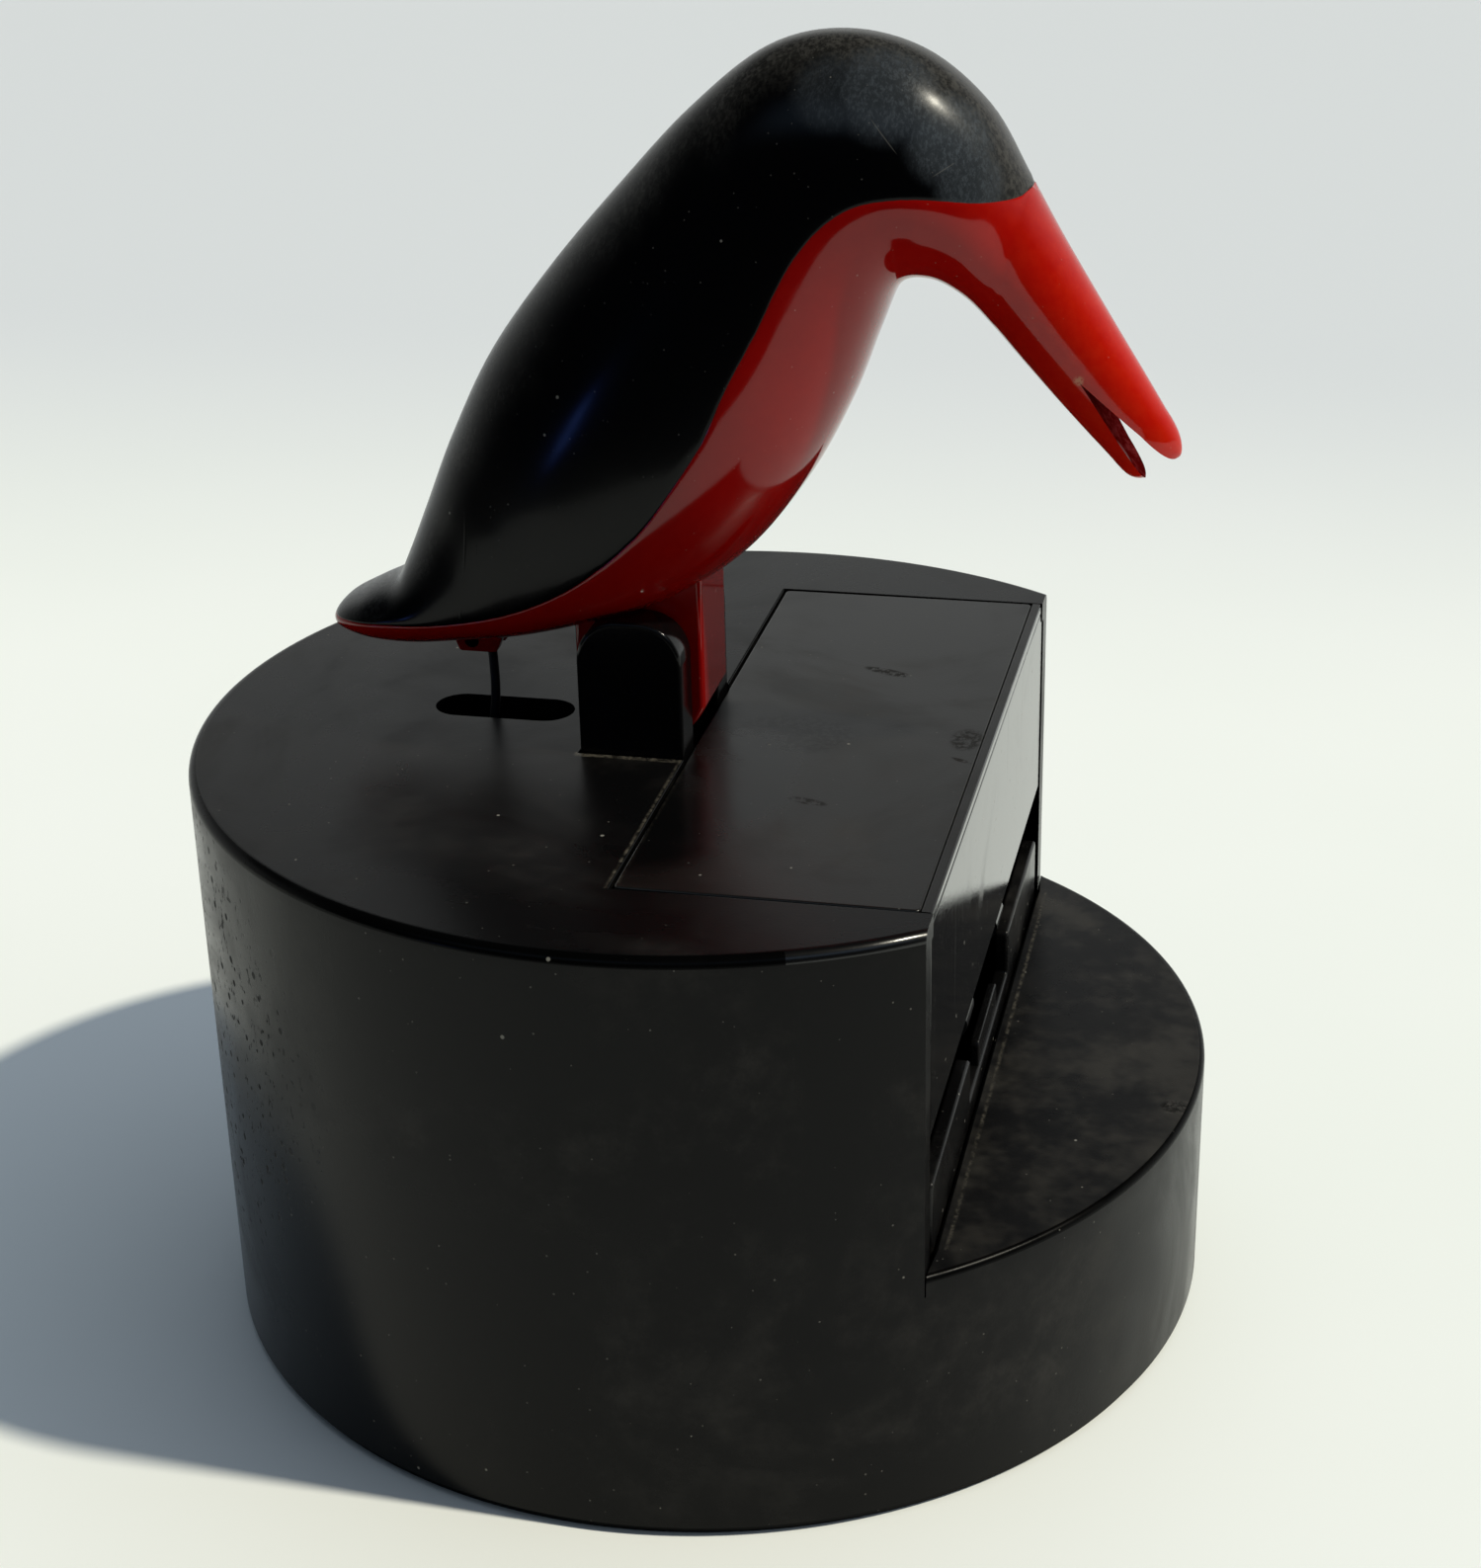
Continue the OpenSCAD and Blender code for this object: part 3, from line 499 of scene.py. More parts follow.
def dust_specks(n, scale, share, low=0.05, high=0.14):
    """Round specks in a few of the cells of a cell pattern."""
    cell = n.node("TexVoronoi", {"Vector": n.place, "Scale": scale})
    chance = n.node("SeparateColor", {"Color": cell.outputs["Color"]}).outputs
    size = n.ramp(chance["Green"], 0, 1, low, high)
    dot = n.ramp(n.math("DIVIDE", cell.outputs["Distance"], size), 1.1, 0.7)
    return n.times(dot, n.ramp(chance["Red"], 1 - share, 1.002 - share))


def inside(n, low, high, soft=0.12):
    """One inside a box in millimetres, with edges as soft as given."""
    axes = n.axes()
    sides = []
    for axis, a, b in zip("XYZ", low, high):
        for edge, way in ((a, soft), (b, -soft)):
            if edge is not None:
                sides.append(n.ramp(axes[axis], (edge - way) * MM, (edge + way) * MM))
    return n.times(*sides)


def spot(n, centre, sizes, turn=(0, 0, 0)):
    """One at the middle of a turned ellipsoid (half lengths in millimetres,
    turn in degrees), fading to nothing at its skin."""
    own = n.node("Mapping", {
        "Vector": n.place, "Location": tuple(c * MM for c in centre),
        "Rotation": tuple(math.radians(a) for a in turn),
        "Scale": tuple(size * MM for size in np.broadcast_to(sizes, 3))}, vector_type="TEXTURE")
    ball = n.node("TexGradient", {"Vector": own.outputs[0]}, gradient_type="SPHERICAL")
    return ball.outputs["Fac"]


def moulded_black(name, colour=SATIN_BLACK, rough=0.3, dust=0.5, specks=0.5, streaks=0.0,
                  level=0.12, pits=None, dusty=(), rubs_and_shade=(), sag=0.0):
    """Satin black plastic: wiped smudges change its gloss, pale dust lies in soft patches and
    specks, and a fine grain breaks the shine. dusty and the rub rows are rows like those above,
    where one rub row of the lid is a patch of painted shade, pits is a centre and a radius, and
    sag is how far the worn rim bends down at the cut."""
    n = finish_net(name)
    smudge = n.ramp(n.noise(38, 5, 0.6, warp=1.2), 0.38, 0.72)
    cloud = n.ramp(n.noise(120, 6, 0.7), 0.42, 0.75)
    scar = n.ramp(n.noise(1.0, 6, 0.75, n.stretch((1400, 1400, 26))), 0.60, 0.72)
    film = n.plus(n.times(smudge, cloud, 0.5 * dust), n.times(scar, streaks * 0.4))
    speck = n.most(n.times(dust_specks(n, 700, 0.06 * specks), 0.8),
                   n.times(dust_specks(n, 2300, 0.05 * specks, 0.1, 0.25), 0.3))
    base = n.mix(film, colour, DUST_FILM)
    for low, high, share, shade, fineness in dusty:
        lint = n.times(inside(n, low, high), n.ramp(n.noise(fineness, 4, 0.8), 0.40, 0.66))
        base = n.mix(n.times(lint, share), base, shade)
    base = n.mix(speck, base, DUST_SPECK)
    gloss = n.plus(n.ramp(smudge, 0, 1, rough, rough + 0.12),
                   n.times(n.plus(speck, film), 0.25), n.times(scar, 0.12 * streaks))
    for centre, sizes, angle, added in rubs_and_shade:
        mark = n.ramp(spot(n, centre, sizes, (0, 0, angle)), 0.0, 0.35)
        if added > 0:
            mark = n.times(mark, n.ramp(n.noise(1500, 5, 0.75), 0.40, 0.55))
        # Rub marks take the wiped black; on the lid one wide patch is painted shade
        base = n.mix(n.times(mark, 0.8), base, WIPED_AND_SHADE_BLACK)
        gloss = n.plus(gloss, n.times(mark, added))
    normal = n.bump(n.noise(3400, 3, 0.6), 0.3, 0.02 * MM)
    if pits is not None:
        holes = n.most(dust_specks(n, 800, 0.5, 0.12, 0.3),
                       n.ramp(n.noise(1.0, 5, 0.7, n.stretch((1500, 1500, 700))), 0.60, 0.66))
        worn = n.times(n.ramp(spot(n, *pits), 0.0, 0.5), holes)
        base = n.mix(worn, base, WIPED_AND_SHADE_BLACK)
        gloss = n.plus(gloss, n.times(worn, 0.4))
        normal = n.bump(n.times(worn, -1.0), 0.6, 0.08 * MM, normal)
    if sag:
        axes = n.axes()
        past = n.math("SUBTRACT", axes["X"], SAG_FROM * MM)
        along = n.most(n.math("DIVIDE", past, SAG_LENGTH * MM), 0.0)
        along = n.times(along, n.math("GREATER_THAN", axes["Z"], WORN_ABOVE * MM))
        normal = n.bump(n.times(along, along, -sag * MM), 1.0, 1.0, normal)
    return n.finish(Base_Color=base, Roughness=gloss, Specular_IOR_Level=level, Normal=normal)


def glossy_black(name):
    """The bird's black back: shiny, worn matt along its ridge, with a scuffed crown under a
    painted bluish sheen, a few hair scratches and dust."""
    n = finish_net(name)
    off_ridge = n.plus(n.axes()["Y"], n.ramp(n.noise(150, 3), 0, 1, -2 * MM, 2 * MM))
    ridge = n.ramp(n.math("ABSOLUTE", off_ridge, 0.0), 7.5 * MM, 1.5 * MM)
    fine = n.noise(1.0, 5, 0.8, n.stretch((3200, 2200, 1700), CROWN_LEAN))
    fine = n.ramp(fine, 0.42, 0.66)
    brushed = n.noise(1.0, 5, 0.7, n.stretch((2600, 2000, 1500), CROWN_LEAN))
    brushed = n.ramp(brushed, 0.32, 0.75)
    crown = n.most(*[n.times(n.ramp(spot(n, centre, radius), 0.2, 0.6), share)
                     for centre, radius, share in CROWN_SCUFFS_AND_SHEEN])
    scuff_and_sheen = n.times(crown, n.ramp(fine, 0, 1, 0.5, 1.0))
    web = n.node("TexVoronoi", {
        "Vector": n.stretch((1, 1, 0.18), (0.5, 0.3, 0.2)), "Scale": 70},
        feature="DISTANCE_TO_EDGE")
    hair = n.times(n.ramp(web.outputs["Distance"], 0.005, 0.0), n.ramp(n.noise(45), 0.58, 0.66))
    scratches = [n.times(n.ramp(spot(n, centre, sizes, (0, tilt, 0)), 0.0, 0.3), 0.35)
                 for centre, sizes, tilt in CROWN_SCRATCHES]
    speck = n.most(dust_specks(n, 800, 0.035),
                   n.times(dust_specks(n, 2500, 0.05, 0.1, 0.22), 0.35), *scratches)
    base = n.mix(n.times(ridge, n.ramp(brushed, 0, 1, 0.25, 1.0)),
                 (0.0008, 0.0008, 0.0010), (0.056, 0.053, 0.047))
    # The scuffs' pale blue is painted sheen: a painted reflection of the blue glow round the
    # crown's highlight
    base = n.mix(scuff_and_sheen, base, (0.050, 0.058, 0.067))
    base = n.mix(n.times(speck, 0.7), base, (0.20, 0.19, 0.17))
    gloss = n.plus(n.ramp(n.noise(60, 6, 0.65, warp=0.8), 0.4, 0.7, 0.09, 0.13),
                   n.times(ridge, n.ramp(brushed, 0, 1, 0.16, 0.3)), n.times(scuff_and_sheen, 0.2))
    normal = n.bump(n.noise(700, 3, 0.6), 0.03, 0.03 * MM)
    normal = n.bump(fine, n.times(crown, 0.12), 0.03 * MM, normal)
    normal = n.bump(hair, 0.25, 0.04 * MM, normal)
    return n.finish(Base_Color=base, Roughness=gloss, Specular_IOR_Level=0.09, Coat_Weight=0.28,
                    Coat_Roughness=0.22, Coat_IOR=1.3, Normal=normal)


def glossy_red(name, colour):
    """The bird's red moulding: deep glossy plastic that lets a little light
    in, cloudier and brighter towards the thin beak, with a chip at the
    mouth's root."""
    n = finish_net(name)
    beak = n.ramp(n.axes()["X"], 20 * MM, 40 * MM)
    mottle = n.ramp(n.noise(700, 6, 0.75), 0.35, 0.7)
    base = n.mix(beak, colour, (0.48, 0.006, 0.0010))
    base = n.mix(n.times(mottle, n.ramp(beak, 0, 1, 0.05, 0.35)), base, (0.56, 0.024, 0.005))
    speck = n.most(dust_specks(n, 800, 0.04),
                   n.times(dust_specks(n, 2400, 0.06, 0.1, 0.22), 0.4))
    base = n.mix(n.times(speck, 0.6), base, (0.42, 0.22, 0.18))
    chip = n.times(n.ramp(spot(n, *BEAK_CHIP), 0.0, 0.3), n.ramp(n.noise(1800, 3, 0.7), 0.38, 0.5))
    base = n.mix(chip, base, (0.62, 0.26, 0.15))
    gloss = n.plus(n.ramp(n.noise(80, 5, 0.6), 0.4, 0.7, 0.07, 0.12), n.times(chip, 0.4))
    return n.finish(Base_Color=base, Roughness=gloss, Specular_IOR_Level=0.34,
                    Subsurface_Weight=0.05, Subsurface_Radius=(0.004, 0.0004, 0.0002),
                    Subsurface_Scale=0.4,
                    Normal=n.bump(n.noise(900, 3, 0.6), 0.04, 0.03 * MM))


def rough_red(name):
    """The beak's inner faces: the same red, unpolished and a little chalky, with a pale painted
    highlight."""
    n = finish_net(name)
    mottle = n.ramp(n.noise(900, 5, 0.75), 0.42, 0.72)
    base = n.mix(mottle, (0.20, 0.003, 0.003), (0.46, 0.05, 0.05))
    # The pale patch near the middle of the inner face is a painted highlight
    pale = n.times(n.ramp(spot(n, *MOUTH_PAINTED_HIGHLIGHT), 0.0, 0.5), n.ramp(mottle, 0, 1, 0.8, 0.4))
    base = n.mix(pale, base, (0.60, 0.36, 0.34))
    return n.finish(Base_Color=base, Roughness=n.ramp(mottle, 0, 1, 0.35, 0.7), IOR=1.2,
                    Specular_IOR_Level=0.0, Normal=n.bump(mottle, 0.4, 0.06 * MM))


def plain_metal(name, colour, rough):
    """Plated steel with fine drawn lines."""
    n = finish_net(name)
    lines = n.noise(1.0, 4, 0.6, n.stretch((3000, 3000, 200)))
    spots = n.ramp(n.noise(400, 4, 0.6), 0.5, 0.7)
    base = n.mix(spots, colour, tuple(0.7 * c for c in colour))
    return n.finish(Base_Color=base, Metallic=1.0,
                    Roughness=n.ramp(lines, 0.3, 0.7, rough, rough + 0.15),
                    Normal=n.bump(lines, 0.1, 0.02 * MM))


# ---- settings ----

class StageSettings(bpy.types.PropertyGroup):
    """The plain room that the dispenser stands in."""
    floor_size: bpy.props.FloatProperty(
        name="Floor size", description="Width of the pale floor", default=6.0,
        min=1.0, max=20.0, unit="LENGTH")
    key_power: bpy.props.FloatProperty(
        name="Key light", description="Strength of the sun-like lamp", default=2.9,
        min=0.0, max=20.0)
    lens: bpy.props.FloatProperty(
        name="Lens", description="Focal length of the camera in millimetres",
        default=65.178, min=20.0, max=200.0)


class DrumSettings(bpy.types.PropertyGroup):
    """Sizes of the drum's edges, and its colour."""
    edge: bpy.props.FloatProperty(
        name="Small edges", description="Radius of the crisp moulded edges",
        default=0.00018, min=0.00005, max=0.0005, unit="LENGTH")
    shade: bpy.props.FloatVectorProperty(
        name="Drum colour", description="Colour of the satin black plastic",
        default=SATIN_BLACK, min=0.0, max=1.0, subtype="COLOR")


class BirdSettings(bpy.types.PropertyGroup):
    """Sizes and colours of the bird."""
    seam_depth: bpy.props.FloatProperty(
        name="Seam depth", description="Depth of the fine groove between back and belly",
        default=0.00005, min=0.0, max=0.0005, unit="LENGTH")
    ring_steps: bpy.props.IntProperty(
        name="Ring steps", description="Rings between two ribs of the body",
        default=8, min=2, max=16)
    red: bpy.props.FloatVectorProperty(
        name="Belly colour", description="Colour of the red moulding",
        default=(0.26, 0.0016, 0.0009), min=0.0, max=1.0, subtype="COLOR")


# ---- the bird's surfaces ----

def section(ribs, turn, shrink=0.0):
    """Points of the body at each rib and turn (degrees from the back). With f
    for the widest place, the point lies f(1 - cos) down the rib above it and
    f - (1 - f)cos below it, and the half width times |sin| to the power 0.9
    out. shrink moves it towards the rib's middle by so many millimetres."""
    a = np.radians(turn)
    c, s = np.cos(a), np.sin(a)
    up, low = ribs[:, None, 0:2], ribs[:, None, 2:4]
    w, f = ribs[:, None, 4], ribs[:, None, 5]
    xz = up + (low - up) * np.where(c > 0, f * (1 - c), f - (1 - f) * c)[..., None]
    y = -w * np.sign(s) * np.abs(s) ** 0.9
    p = np.stack([xz[..., 0], y, xz[..., 1]], -1)
    mid = up + (low - up) * f[..., None]
    mid = np.stack([mid[..., 0], 0 * w, mid[..., 1]], -1)
    out = p - mid
    length = np.maximum(np.linalg.norm(out, axis=-1, keepdims=True), 1e-6)
    depth = np.broadcast_to(np.asarray(shrink, float), length.shape[:-1])[..., None]
    return p - out / length * np.minimum(depth, 0.8 * length)


def crossing(ribs, seam):
    """Turn in degrees at which each rib meets the seam: 0 where the whole rib
    lies below it, 180 where it lies above."""
    t = np.linspace(0, 1, 600)
    xz = ribs[:, None, 0:2] + (ribs[:, None, 2:4] - ribs[:, None, 0:2]) * t[None, :, None]
    above = xz[..., 1] > np.interp(xz[..., 0], seam[::-1, 0], seam[::-1, 1])
    share = t[np.where(above.all(1), len(t) - 1, np.argmin(above, 1))]
    f = ribs[:, 5]
    return np.degrees(np.arccos(np.where(share < f, 1 - share / f, (f - share) / (1 - f))))


def mouth_root_rib(ribs):
    """Number of the last rib before the mouth's root: the root's distance
    along the body changes sign after it."""
    square = np.stack([ribs[:, 1] - ribs[:, 3], ribs[:, 2] - ribs[:, 0]], 1)
    side = ((MOUTH_ROOT - ribs[:, 0:2]) * square).sum(1)
    return int(np.where((side[:-1] > 0) & (side[1:] <= 0))[0][-1])


def mouth_turn(ribs, end):
    """Turn in degrees at which each rib meets the line from the mouth's root
    to end."""
    d = end - MOUTH_ROOT
    mid, half = (ribs[:, 0:2] + ribs[:, 2:4]) / 2, (ribs[:, 0:2] - ribs[:, 2:4]) / 2
    q = MOUTH_ROOT - mid
    c = (q[:, 0] * d[1] - q[:, 1] * d[0]) / (half[:, 0] * d[1] - half[:, 1] * d[0])
    return np.degrees(np.arccos(np.clip(c, -1, 1)))


def seam_step(ribs):
    """Turn in degrees that the rolled edge takes at each rib: its width over
    the mean of the half height and the half width."""
    reach = (np.linalg.norm(ribs[:, 0:2] - ribs[:, 2:4], axis=1) / 2 + ribs[:, 4]) / 2
    return np.degrees(SEAM_WIDTH / np.maximum(reach, 0.5))[:, None]


def moulding(ribs, meet, inner, full, depth):
    """Closed skin from turn meet to full - meet. Between meet and inner lie
    three columns that roll in by depth times (1 - share)^2."""
    edge = meet + (inner - meet) * SEAM_ROLL
    t = inner + np.linspace(0, 1, SKIN_COLUMNS) * (full - 2 * inner)
    turn = np.concatenate([edge, t, full - edge[:, ::-1]], 1)
    pull = np.zeros_like(turn)
    pull[:, :3] = depth * (1 - SEAM_ROLL) ** 2
    pull[:, -3:] = depth * (1 - SEAM_ROLL[::-1]) ** 2
    return tube_of(section(ribs, turn, pull))


def back_part(ribs, meet, depth):
    """The black moulding, from seam to seam over the back, closed straight
    across."""
    use = np.where(meet > 1.0)[0]
    ribs, meet = ribs[use[0]:use[-1] + 1], meet[use[0]:use[-1] + 1, None]
    inner = np.maximum(meet - seam_step(ribs), meet * 0.5)
    return moulding(ribs, -meet, -inner, 0.0, depth)


def belly_part(ribs, meet, depth):
    """The red moulding up to the mouth, from seam to seam under the belly. Its
    rolled edge fades out where the seam nears the back's crest."""
    meet = meet[:, None]
    share = np.clip(meet / 6, 0, 1)
    return moulding(ribs, meet, meet + seam_step(ribs) * share, 360.0, depth * share)


def tip_rows(rings, ahead, n=3):
    """More rows that round off the end: the last ring shrinks as a quarter
    circle, to a fifth at least, while it moves ahead."""
    last, mid = rings[-1], rings[-1].mean(0)
    a = np.linspace(0, math.pi / 2, n + 1)[1:]
    rows = [mid + (last - mid) * max(math.cos(t), 0.2) + ahead * math.sin(t) for t in a]
    return np.concatenate([rings, np.array(rows)])


def across(rings, n):
    """Points straight across from each ring's last to its first point, and
    how far they bulge: 1 - s^2, with s from -1 to 1."""
    s = np.linspace(0, 1, n)[1:-1]
    share = s[:, None]
    return rings[:, -1, None] * (1 - share) + rings[:, 0, None] * share, 1 - (2 * s - 1) ** 2


def upper_beak(ribs, turn_at):
    """The upper half of the beak, closed by a slightly crowned underside."""
    rings = section(ribs, np.linspace(-1, 1, JAW_COLUMNS) * turn_at[:, None])
    under, bulge = across(rings, 14)
    sag = 0.12 * ribs[:, 4, None] * bulge
    under[..., 2] -= sag
    under[..., 0] -= 0.6 * sag
    return np.concatenate([rings, under], 1)


def lower_beak(ribs, turn_at):
    """The lower half of the beak, hollowed a little: its inner face sags
    towards the crest by up to 0.22 of its height, as the bulge to the power
    0.8 across and along the first quarter."""
    turn_at = turn_at[:, None]
    rings = section(ribs, turn_at + np.linspace(0, 1, JAW_COLUMNS) * (360 - 2 * turn_at))
    under, bulge = across(rings, 20)
    down = rings[:, JAW_CREST] - under[:, 9]
    room = np.linalg.norm(down, axis=1)
    deep = 0.22 * room * np.minimum(np.linspace(0, 4, len(ribs)), 1) ** 0.8
    way = down / np.maximum(room, 1e-6)[:, None]
    under = under + way[:, None] * (deep[:, None] * bulge ** 0.8)[..., None]
    return np.concatenate([rings, under], 1)


def blunt(rings, steps):
    """Rounds off the last rings, first set closer together towards the tip.
    Their half width, and their height from rim to crest, become the root of
    (own size times size at the start) times the root of 1 - t^2, with t from
    0 to 0.985."""
    t = np.sin(np.linspace(0, math.pi / 2, 2 * steps + 1))
    i = np.minimum((steps * t).astype(int), steps - 1)
    share = (steps * t - i)[:, None, None]
    tail = rings[-steps - 1:]
    end = tail[i] * (1 - share) + tail[i + 1] * share
    curve = np.sqrt(1 - (0.985 * t) ** 2)
    width = np.abs(end[..., 1]).max(1)
    end[..., 1] *= (np.sqrt(width[0] / width) * curve)[:, None]
    rim, crest = end[:, 0, ::2], end[:, JAW_CREST, ::2]
    height = np.linalg.norm(rim - crest, axis=1)
    mid = ((rim + crest) / 2)[:, None]
    shrunk = (np.sqrt(height[0] / height) * curve)[:, None, None]
    end[..., ::2] = mid + (end[..., ::2] - mid) * shrunk
    return np.concatenate([rings[:-steps - 1], end])


def beak_parts(ribs, steps):
    """Both halves of the beak from the mouth's root to their tips. Each
    starts with a smaller ring inside the head, and their inner faces take
    the rougher finish."""
    out = []
    for kind, end in ((upper_beak, MOUTH_HIGH), (lower_beak, MOUTH_LOW)):
        rings = blunt(kind(ribs, mouth_turn(ribs, end)), steps + 5)
        mid = rings[0].mean(0)
        inside_head = mid + (rings[0] - mid) * 0.5 + np.array([-0.4, 0, 0.6])
        rings = np.concatenate([inside_head[None], rings])
        points, groups = tube_of(tip_rows(rings, np.array([0.02, 0, -0.04])))
        column = np.arange(len(groups[0])) % rings.shape[1]
        out.append((points, groups, [(column >= JAW_COLUMNS - 1).astype(int), 0, 0]))
    return out


def leg_parts():
    """The leg, a half circle round the pivot under two straight sides, with
    its bore, and the two cheeks under the tail that hold the cross pin."""
    x, z = PIVOT
    foot = arc(x, z, LEG_BACK, 180, 360 - math.degrees(math.acos(LEG_FRONT / LEG_BACK)), 40)
    outline = np.vstack([[[x + LEG_FRONT, z + LEG_UP], [x - LEG_BACK, z + LEG_UP]], foot])
    leg = plate(outline, -LEG_HALF, LEG_HALF, 0.45, plane="xz",
                holes=[arc(x, z, BORE_R, 0, 354, 60)])
    hx, hz = HOOK
    boss = rounded([[hx - 2.4, hz + 1.9], [hx - 1.2, hz - 1.1],
                    [hx + 2.3, hz - 1.1], [hx + 3.6, hz + 1.9]], [0, 0.35, 0.35, 0])
    cheek = plate(boss, 0.8, 2.2, 0.15, plane="xz")
    return [leg, cheek, mirrored(cheek)]


# ---- operators ----

def dress(obj, body, slot, *nodes):
    """Puts a piece on its body and hides the nodes it stands for. slot, the name of its finish, is
    not used.
    """
    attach(obj, body)
    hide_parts(*nodes)


class DISPENSER_OT_stage(bpy.types.Operator):
    """Camera, pale floor, room and sun"""
    bl_idname = "dispenser.stage"
    bl_label = "Stage"

    def execute(self, context):
        s = context.scene.dispenser_stage
        self.camera(context, s.lens)
        self.floor(s.floor_size)
        self.world(context)
        self.sun(s.key_power)
        return {"FINISHED"}

    def camera(self, context, lens):
        """The camera is turned round to its azimuth, tipped up to its
        elevation, and rolled about its line of sight."""
        cam = bpy.data.cameras.new("camera")
        cam.lens, cam.sensor_width, cam.sensor_fit = lens, 36.0, "AUTO"
        cam.clip_start, cam.clip_end = 0.01, 50
        azimuth, elevation, roll = (math.radians(angle) for angle in CAMERA_TURN)
        obj = context.scene.camera = placed("camera", cam)
        obj.matrix_world = (Matrix.Translation(Vector(CAMERA_AT) * MM)
                            @ Matrix.Rotation(azimuth, 4, "Z")
                            @ Matrix.Rotation(math.pi / 2 - elevation, 4, "X")
                            @ Matrix.Rotation(roll, 4, "Z"))
        context.scene.view_settings.view_transform = "Standard"

    def floor(self, size):
        """A pale floor, a little greyer far behind the drum. Its front part
        neither shows in the plastic nor lights it."""
        n = finish_net("floor_white")
        far = n.ramp(n.axes()["Y"], 0.13, 0.34)
        faint = n.ramp(n.noise(6, 3, 0.5), 0.3, 0.7)
        near = n.mix(faint, (0.88, 0.91, 0.87), (0.92, 0.94, 0.91))
        n.finish(Base_Color=n.mix(far, near, (0.71, 0.735, 0.76)), Roughness=0.6,
                 Specular_IOR_Level=0.2)
        half = size / 2
        for name, y0, y1, seen in (("floor", FLOOR_FRONT, half, True),
                                   ("floor_front", -half, FLOOR_FRONT, False)):
            mesh = bpy.data.meshes.new(name)
            mesh.from_pydata([(x, y, 0) for x, y in box_outline(-half, half, y0, y1)],
                             [], [(0, 1, 2, 3)])
            mesh.materials.append(n.owner)
            obj = placed(name, mesh)
            obj.visible_glossy = obj.visible_diffuse = seen

    def world(self, context):
        """A dim room. Reflections show a pale wall low down behind the
        object, a soft blue glow high in front, and a narrow blue gap at the
        left, and the camera sees plain pale grey."""
        room = bpy.data.worlds.new("room")
        context.scene.world = room
        n = Net(room, "Generated")
        axes = n.axes()
        y, z = axes["Y"], axes["Z"]

        def along(x, y):
            return n.node("VectorMath", {0: n.place, 1: (x, y, 0)},
                          operation="DOT_PRODUCT").outputs["Value"]

        wall = n.times(n.ramp(z, 0.62, 0.22), n.ramp(y, -0.45, 0.45))
        glow = n.times(n.ramp(z, 0.36, 0.56), n.ramp(z, 0.82, 0.62),
                       n.ramp(along(0.26, -0.97), 0.15, 0.6))
        over_gap = along(0.743, -0.669)
        gap = n.times(n.ramp(over_gap, -0.028, -0.008), n.ramp(over_gap, 0.028, 0.008),
                      n.ramp(along(-0.669, -0.743), 0.5, 0.7),
                      n.ramp(z, -0.11, -0.06), n.ramp(z, 0.03, -0.02))
        mirrored_room = n.mix(wall, (0.010, 0.013, 0.018), (0.66, 0.68, 0.67))
        mirrored_room = n.mix(glow, mirrored_room, (0.30, 0.42, 0.58))
        mirrored_room = n.mix(gap, mirrored_room, (0.8, 1.6, 6.0))
        soft_room = n.mix(n.ramp(along(0.5, 0.87), -0.7, 0.6),
                          (0.04, 0.055, 0.075), (0.50, 0.58, 0.68))
        rays = n.node("LightPath").outputs
        colour = n.mix(rays["Is Glossy Ray"], soft_room, mirrored_room)
        seen = n.most(rays["Is Camera Ray"], rays["Is Transmission Ray"])
        n.put(n.tree.nodes["Background"].inputs["Color"],
              n.mix(seen, colour, (0.71, 0.735, 0.72)))

    def sun(self, power):
        """A warm sun from the right, aimed at the middle of the object."""
        data = bpy.data.lights.new("key_light", "SUN")
        data.energy, data.color, data.angle = power, (1.0, 0.95, 0.80), math.radians(SUN_WIDTH)
        rise = math.radians(SUN_RISE)
        at = Vector((*(part * math.cos(rise) for part in SUN_WAY), math.sin(rise)))
        obj = placed("key_light", data)
        obj.location = at
        obj.rotation_euler = (at - SUN_AIM).to_track_quat("Z", "Y").to_euler()


class DISPENSER_OT_bird(bpy.types.Operator):
    """Black back, red belly with leg and beak"""
    bl_idname = "dispenser.bird"
    bl_label = "Bird"

    def execute(self, context):
        s = context.scene.dispenser_bird
        ribs = through(RIBS, s.ring_steps)
        meet = crossing(ribs, through(SEAM, 6))
        depth = s.seam_depth / MM
        root = mouth_root_rib(ribs)
        black, red = glossy_black("bird_black"), glossy_red("bird_red", tuple(s.red))
        dress(piece("bird_back_shell", [back_part(ribs, meet, depth)], black),
              "bird", "gloss_black", "bird_back")
        parts = [belly_part(ribs[:root + 1], meet[:root + 1], depth)]
        parts += beak_parts(ribs[root:], s.ring_steps) + leg_parts()
        dress(piece("bird_belly_shell", parts, red, rough_red("bird_mouth")),
              "bird", "gloss_red", "bird_belly")
        return {"FINISHED"}


class DISPENSER_OT_hinge(bpy.types.Operator):
    """Two ears that carry the bird, on their bracket"""
    bl_idname = "dispenser.hinge"
    bl_label = "Hinge ears"

    def execute(self, context):
        x0, x1, low = EARS_LOW[0], EARS_HIGH[0], EARS_LOW[2]
        side = rounded(box_outline(x0, x1, low, EAR_TOP), [0, 0, EAR_CORNER, EAR_CORNER], 14)
        ear = plate(side, EAR_IN, EAR_OUT, 0.35, plane="xz")
        web = plate(box_outline(x0, x1, -EAR_OUT, EAR_OUT), low, low + YOKE_T, 0.1)
        foot = box_outline(x0, x1, EAR_OUT - OVERLAP, EARS_HIGH[1])
        foot = plate(foot, YOKE_Z, YOKE_Z + YOKE_T, 0.1)
        black = moulded_black("hinge_black", rough=0.11, dust=0.1, specks=0.3, level=0.18,
                              rubs_and_shade=EAR_MARKS)
        dress(piece("hinge_ears", [ear, mirrored(ear), web, foot, mirrored(foot)], black),
              "base", "gloss_black", "pivot_bracket")
        return {"FINISHED"}


